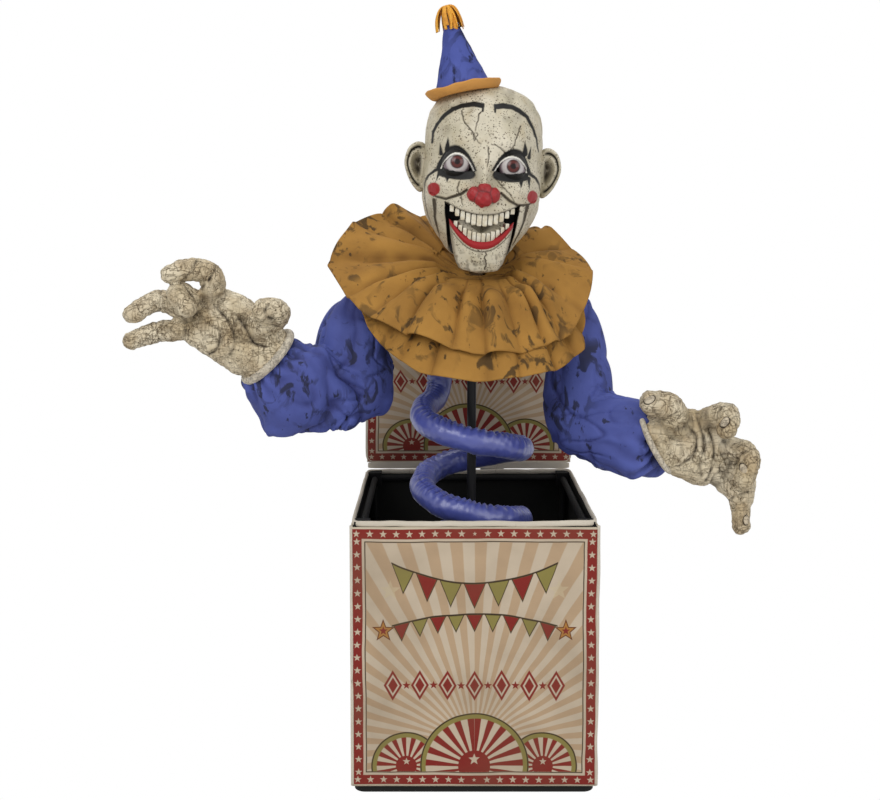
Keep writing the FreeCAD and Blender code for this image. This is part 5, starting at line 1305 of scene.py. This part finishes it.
def jaw_skin():
    """Jaw block: oval rings from the chin to an arched and rolled lip, and a tray for the lower teeth.

    The tray's rows shrink the last ring towards the middle, first down behind the lip and then up.
    """
    outer_rows, tray_rows, columns = 110, 22, 220
    turn = np.linspace(-math.pi, math.pi, columns, endpoint=False)[None]
    turn = turn - 0.3 * np.sin(turn)
    steps = np.concatenate([np.linspace(0, 1, outer_rows), np.ones(tray_rows)])[:, None]
    inner = np.concatenate([np.zeros(outer_rows), np.linspace(0.04, 1, tray_rows)])[:, None]
    arc = 15 + 31 * np.abs(np.sin(turn)) ** 2.4
    z = CHIN + (arc - CHIN) * steps
    table = np.array(JAW, float)
    half, front, back = (curve(z, table[:, 0], table[:, column]) for column in (1, 2, 3))
    close = np.sqrt(np.clip(steps * 18, 0, 1))
    x = half * np.sin(turn) * close
    y = -(front + back) / 2 - (front - back) / 2 * np.cos(turn) * close
    facing = np.cos(turn) + 0 * z
    over = z - arc + LIP_DEPTH
    lip = ease(over - 3.0 * np.sin(turn) ** 4, 0, 1.2) * (inner < 0.3) * ease(facing, -0.1, 0.15)
    roll = lip * np.sin(np.clip(over / LIP_DEPTH, 0, 1) * math.pi) * 3.0
    y = y - roll * ease(facing, 0, 0.6)
    shrink = 1 - 0.94 * inner
    x = x * shrink
    y = TRAY_MIDDLE + (y - TRAY_MIDDLE) * shrink
    z = z + np.where(inner > 0, -3 * ease(inner, 0, 0.1) + 16 * ease(inner, 0.25, 0.6), 0)
    skin = np.stack([x, y, z], -1)
    # painted shadow under the lip's roll, and painted shade on the sides that sit in the head's slot
    under = 0.8 * hill(z, arc - 14.0, 1.3) * ease(facing, 0, 0.3) * (inner == 0)
    sides = 0.55 * ease(np.abs(np.sin(turn)), 0.86, 0.98) * (inner == 0)
    path = even(np.array([(9, 0, 2), (6, 0, -9), (10, 0, -16), (8, 0, -24)], float), 18)
    path[:, 0] += 0.9 * ripple(path, 8, 91)
    crack = 0.95 * stroke(x, z, path[:, ::2], np.linspace(1.4, 2.2, len(path))) * (facing > 0)
    # patchy darkening towards the chin's foot
    low_patches = 0.5 * np.clip(ripple(skin, 9, 92), 0, 1) * ease(6 - z, 0, 14) * (lip < 0.1)
    masks = no_paint(skin)
    # painted shade: black just behind the lip, and a darker tray inside the mouth
    masks[..., 0] = 0.85 * hill(inner, 0.12, 0.06)
    masks[..., 1] = lip
    masks[..., 2] = np.where(inner > 0.2, 0.42, np.max([under, sides, crack, low_patches], axis=0))
    return skin, np.clip(masks, 0, 1)


def tooth_row(spread, foot, tip, radius):
    """Row of rounded teeth on an arc of a radius, each from a foot curve to a tip curve."""
    skin = Skin()
    chance = np.random.default_rng(95)
    pitch = 2 * spread / TEETH
    for number in range(TEETH):
        x = -spread + pitch * (number + 0.5)
        low, high = sorted((foot(x), tip(x)))
        half_width = pitch * chance.uniform(0.45, 0.49)
        half_height = (high - low) / 2 + chance.uniform(1.0, 1.8)
        y = -22 - math.sqrt(radius ** 2 - x ** 2) + TOOTH_LEAN * abs(x) / spread
        tooth = ball((0, 0, 0), (half_width, TOOTH_HALF_THICK, half_height), 18, 26, 0.4)
        masks = no_paint(tooth)
        # painted shade between the teeth, darker towards each tooth's sides
        masks[..., 2] = 0.9 * ease(np.abs(tooth[..., 0]) / half_width, 0.86, 1.0)
        tooth = spun(tooth, math.degrees(math.asin(x / radius)) + chance.uniform(-3, 3))
        skin.grid(on_head(tooth + np.array([x, y, (low + high) / 2])), masks=masks)
    return skin


class CLOWN_OT_jaw(Operator):
    """Jaw block with its red lower lip, and both rows of teeth"""

    bl_idname = "clown.jaw"
    bl_label = "Jaw and Teeth"

    def execute(self, context):
        points, masks = jaw_skin()
        obj = Skin().grid(on_head(points), masks=masks).build("jaw_block", FINISHES["painted_face"])
        settle(obj, "jaw", ["jaw"])
        upper = tooth_row(47, lambda x: lip_edge(x) + 1, lambda x: 38.5 + 22 * (x / 46) ** 2, 84)
        settle(upper.build("upper_row", FINISHES["teeth_paint"]), "head", ["upper_teeth"])
        lower = tooth_row(40, lambda x: 13 + 31 * abs(x / 43) ** 2.4, lambda x: 26 + 19 * (x / 40) ** 2, 82)
        settle(lower.build("lower_row", FINISHES["teeth_paint"]), "jaw", ["lower_teeth"])
        return {"FINISHED"}


# hat, in its own axes with Z along the cone; the brim's outline is (reach, height)
HAT_PLACE, HAT_LEAN = (-35.0, -24.0, 238.0), -14.0
HAT_RADIUS, HAT_TIP_RADIUS, HAT_HEIGHT = 43.0, 3.5, 122.0
BRIM_LINE = ((24, -4), (38, -5.5), (48, -6.5), (54, -2), (57.5, 4), (56.5, 6.5), (54, 4.5), (51, 0),
             (46, -1.5), (38, -2.5), (24, -4))
STRIPS, STRIP_DEPTH = 24, 0.045


def on_hat(points):
    """Points of the hat's own axes, leaned and put on the head."""
    return on_head(leaned(points, HAT_LEAN, HAT_PLACE))


class CLOWN_OT_hat(Operator):
    """Felt cone with a rolled brim and a tassel of cut strips"""

    bl_idname = "clown.hat"
    bl_label = "Hat"

    def execute(self, context):
        angle, up = np.meshgrid(np.linspace(0, TURN, 120, endpoint=False), np.linspace(0, 1, 70))
        radius = HAT_RADIUS + (HAT_TIP_RADIUS - HAT_RADIUS) * up
        flat = np.stack([radius * np.cos(angle), radius * np.sin(angle), HAT_HEIGHT * up - 2], -1)
        radius = radius + (ripple(flat, 45, 101) + 0.5 * ripple(flat, 18, 102)) * (1 - 0.7 * up)
        points = np.stack([radius * np.cos(angle), radius * np.sin(angle), flat[..., 2]], -1)
        masks = no_paint(points)
        # painted shade round the cone's foot, over the brim
        masks[..., 2] = 0.7 * hill(up, 0.02, 0.06)
        cone = Skin().grid(on_hat(points), masks=masks).build("hat_felt", FINISHES["hat_blue"])
        settle(cone, "head", ["hat_cone"])
        # brim: an outline turned about the cone's axis, with ripples that grow outwards
        line = line_through(BRIM_LINE, 66)
        turn = np.linspace(0, TURN, 200, endpoint=False)
        reach = line[:, :1] + 0 * turn
        level = line[:, 1:] + 0 * turn
        brim = np.stack([reach * np.cos(turn), reach * np.sin(turn), level], -1)
        brim[..., 2] += (1.3 * ripple(brim, 70, 103) + 0.5 * ripple(brim, 22, 104)) * ease(reach, 42, 56)
        obj = Skin().grid(on_hat(brim), poles=False).build("hat_roll", FINISHES["hat_mustard"])
        settle(obj, "head", ["hat_brim"])
        # tassel: strips that rise out of the tip, arch over and fall, each with its own sway and twist
        chance = np.random.default_rng(107)
        tassel = Skin()
        area = 0.0
        along = np.linspace(0, 1, 18)
        for number in range(STRIPS):
            bearing = number * 2.4
            length = chance.uniform(34, 46)
            spread = chance.uniform(6, 17)
            out = 1.5 + spread * np.sin(np.minimum(along * 1.7, 1.45)) + 5.0 * along
            fall = HAT_HEIGHT + 4 + 9 * np.sin(along * 2.2) - length * along ** 1.4
            width = chance.uniform(2.6, 4.0) * (1 - 0.2 * along)
            run = np.array([math.cos(bearing), math.sin(bearing), 0])
            across = np.array([-math.sin(bearing), math.cos(bearing), 0])
            sway = 2.5 * np.sin(along * chance.uniform(2, 5) + bearing) * along
            middle = run * out[:, None] + across * sway[:, None] + np.array([0, 0, 1.0]) * fall[:, None]
            twist = chance.uniform(-1.2, 1.2) * along[:, None]
            flat = across * np.cos(twist) + run * np.sin(twist)
            strip = middle[:, None] + flat[:, None] * (width[:, None] * (-1, 0, 1))[..., None]
            masks = no_paint(strip)
            masks[..., 0] = chance.uniform(0, 1)
            tassel.grid(on_hat(strip), around=False, poles=False, masks=masks)
            area += length * 1.25 * 2 * width.mean() * MM * MM
        obj = tassel.build("hat_strips", FINISHES["tassel_felt"])
        thicken(settle(obj, "head", ["hat_tassel"]), 0.9)
        area / STRIP_DEPTH
        return {"FINISHED"}


# finishes of every slot, and the stage
class CLOWN_OT_finishes(Operator):
    """Make every material, and give the CAD pieces that stay in view theirs"""

    bl_idname = "clown.finishes"
    bl_label = "Finishes"

    def execute(self, context):
        blue, mustard = tuple(settings().blue), tuple(settings().mustard)
        printed_cloth()
        worn_cloth("mustard_cloth", mustard, tint(104, 70, 32), tint(46, 38, 28), 0.42, 0.85,
                   Specular_IOR_Level=0.2)
        worn_cloth("blue_cloth", blue, tint(46, 48, 98), tint(26, 25, 32), 0.44, 0.7, Specular_IOR_Level=0.25)
        worn_cloth("hat_blue", blue, tint(52, 62, 126), tint(30, 32, 54), 0.47, 0.85, Specular_IOR_Level=0.2)
        worn_cloth("hat_mustard", tint(206, 148, 72), tint(168, 112, 50), tint(80, 56, 34), 0.30)
        worn_cloth("white_binding", tint(206, 198, 182), tint(176, 164, 146), tint(128, 114, 94), 0.32)
        satin = Finish("blue_satin", tint(76, 86, 160), 0.36, Specular_IOR_Level=0.75, Sheen_Weight=0.35,
                       Sheen_Roughness=0.3)
        satin.layer(satin.noise(50, 3).above(0.5, 0.5) * 0.5, tint(58, 62, 126))
        # painted shade in the hollows of the puckers
        satin.layer(satin.masks()[2] * 0.8, tint(34, 36, 92))
        satin.relief(satin.noise(16, 3), 1.2)
        satin.done()
        painted_skin("painted_face", False)
        painted_skin("painted_hand", True)
        eye = Finish("eye_gloss", tint(190, 184, 182), 0.16, Specular_IOR_Level=0.3)
        dark, iris, edge, _ = eye.masks()
        # painted shade at the ball's edge
        eye.layer(edge, tint(110, 92, 100))
        eye.layer(iris, tint(86, 36, 32))
        eye.layer(dark, tint(24, 10, 12))
        eye.done()
        red = Finish("red_gloss", tint(150, 28, 32), 0.42, Specular_IOR_Level=0.35)
        red.layer(red.noise(12, 4).above(0.58, 0.2) * 0.5, tint(120, 22, 26))
        # painted shade in the creases between the lobes
        red.layer(red.masks()[2], tint(82, 16, 18))
        red.relief(red.noise(6, 4), 0.7)
        red.done()
        teeth = Finish("teeth_paint", tint(216, 210, 192), 0.35)
        teeth.layer(teeth.noise(9, 4).above(0.52, 0.25) * 0.6, tint(170, 150, 104))
        # painted shade between the teeth
        teeth.layer(teeth.masks()[2], tint(36, 30, 24))
        teeth.done()
        felt = Finish("tassel_felt", tint(238, 178, 62), 0.85)
        felt.layer(felt.masks()[0] * 0.6, tint(206, 132, 50))
        felt.layer(felt.noise(12, 3).above(0.56, 0.2) * 0.5, tint(178, 110, 40))
        felt.done()
        for name, colour, rough, metal in (
                ("black_board", (18, 18, 16), 0.7, 0.0), ("black_steel", (24, 24, 25), 0.45, 0.0),
                ("bright_steel", (190, 190, 192), 0.3, 1.0), ("frame_rod", (14, 14, 14), 0.8, 0.0),
                ("lid_stiffener", (30, 30, 28), 0.7, 0.0), ("dark_plastic", (34, 34, 36), 0.45, 0.0),
                ("pale_nylon", (222, 220, 210), 0.4, 0.0), ("motor_case", (120, 122, 126), 0.4, 1.0),
                # neck_steel: the ruffles' mustard darkened, painted shade where the post shows under the chin
                ("neck_steel", (74, 56, 34), 0.7, 0.0)):
            plain(name, colour, rough, metal)
        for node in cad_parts.values():
            for slot in node.material_slots:
                slot.material = FINISHES[slot.material.name.split(".")[0]]
        return {"FINISHED"}


def seen_ray(tree):
    """Socket that is 1 for rays that show the backdrop: from the camera, a shine or a clear piece."""
    path = tree.nodes.new("ShaderNodeLightPath")
    socket = path.outputs["Is Camera Ray"]
    for kind in ("Is Glossy Ray", "Is Transmission Ray"):
        either = tree.nodes.new("ShaderNodeMath")
        either.operation = "MAXIMUM"
        tree.links.new(socket, either.inputs[0])
        tree.links.new(path.outputs[kind], either.inputs[1])
        socket = either.outputs[0]
    return socket


def backdrop(tree, lit, seen, output):
    """Show the seen shader to the rays that show the backdrop, and the lit one to the rest."""
    mix = tree.nodes.new("ShaderNodeMixShader")
    for slot, socket in zip(mix.inputs, (seen_ray(tree), lit.outputs[0], seen.outputs[0])):
        tree.links.new(socket, slot)
    tree.links.new(mix.outputs[0], tree.nodes[output].inputs["Surface"])


class CLOWN_OT_stage(Operator):
    """Camera, white floor and backdrop, and soft lights"""

    bl_idname = "clown.stage"
    bl_label = "Stage"

    def execute(self, context):
        scene = context.scene
        scene.view_settings.view_transform = "Standard"
        camera = bpy.data.cameras.new("Camera")
        camera.sensor_fit = "HORIZONTAL"
        camera.sensor_width = 36.0
        camera.lens = 46.48
        camera.shift_y = -0.1
        camera.clip_end = 50.0
        eye = bpy.data.objects.new("Camera", camera)
        eye.location = (-0.048885, -1.7417, 0.809055)
        eye.rotation_euler = (math.radians(90 - 4.376), 0, 0)
        scene.collection.objects.link(eye)
        scene.camera = eye
        for name, place, aim, size, power in (
                ("key", (-1.3, -2.0, 2.2), (0, 0, 0.65), 1.6, settings().light),
                ("fill", (1.7, -1.8, 1.5), (0, 0, 0.6), 1.6, 0.55 * settings().light),
                ("top", (0.0, 0.6, 2.6), (0, 0, 0.7), 1.4, 0.35 * settings().light)):
            lamp = bpy.data.lights.new(name, "AREA")
            lamp.size = size
            lamp.energy = power
            obj = bpy.data.objects.new(name, lamp)
            run = np.array(aim) - np.array(place)
            tilt = math.acos(-run[2] / np.linalg.norm(run))
            obj.location = place
            obj.rotation_euler = (tilt, 0, math.atan2(run[1], run[0]) - math.pi / 2)
            scene.collection.objects.link(obj)
        world = bpy.data.worlds.new("Studio")
        world.use_nodes = True
        scene.world = world
        nodes = world.node_tree.nodes
        soft, white = nodes["Background"], nodes.new("ShaderNodeBackground")
        for shader, strength in ((soft, 0.34), (white, 1.0)):
            shader.inputs["Color"].default_value = (1, 1, 1, 1)
            shader.inputs["Strength"].default_value = strength
        backdrop(world.node_tree, soft, white, "World Output")
        floor = bpy.data.materials.new("stage_white")
        floor.use_nodes = True
        nodes = floor.node_tree.nodes
        pale = nodes["Principled BSDF"]
        pale.inputs["Base Color"].default_value = (0.85, 0.85, 0.85, 1)
        backdrop(floor.node_tree, pale, nodes.new("ShaderNodeEmission"), "Material Output")
        mesh = bpy.data.meshes.new("floor")
        mesh.from_pydata([(-4, -3, 0), (4, -3, 0), (4, 4, 0), (-4, 4, 0)], [], [(0, 1, 2, 3)])
        mesh.materials.append(floor)
        obj = bpy.data.objects.new("floor", mesh)
        scene.collection.objects.link(obj)
        return {"FINISHED"}


class CLOWN_PT_looks(Panel):
    """Sidebar with the driving sizes and one button for each group of pieces"""

    bl_idname = "CLOWN_PT_looks"
    bl_label = "Spring Clown"
    bl_space_type = "VIEW_3D"
    bl_region_type = "UI"
    bl_category = "Clown"

    def draw(self, context):
        for key in ClownSettings.__annotations__:
            self.layout.prop(context.scene.clown, key)
        for operator in OPERATORS:
            self.layout.operator(operator.bl_idname)


OPERATORS = (CLOWN_OT_finishes, CLOWN_OT_box, CLOWN_OT_lid, CLOWN_OT_coil, CLOWN_OT_ruffles, CLOWN_OT_sleeves,
             CLOWN_OT_hands, CLOWN_OT_head, CLOWN_OT_jaw, CLOWN_OT_hat, CLOWN_OT_stage)
CLASSES = (ClownSettings,) + OPERATORS + (CLOWN_PT_looks,)


def register():
    """Add the classes and the settings to Blender."""
    for item in CLASSES:
        bpy.utils.register_class(item)
    bpy.types.Scene.clown = PointerProperty(type=ClownSettings)


def unregister():
    """Take the settings and the classes out again."""
    del bpy.types.Scene.clown
    for item in reversed(CLASSES):
        bpy.utils.unregister_class(item)


def main():
    register()
    for operator in OPERATORS:
        group, name = operator.bl_idname.split(".")
        getattr(getattr(bpy.ops, group), name)()


if __name__ == "__main__":
    main()
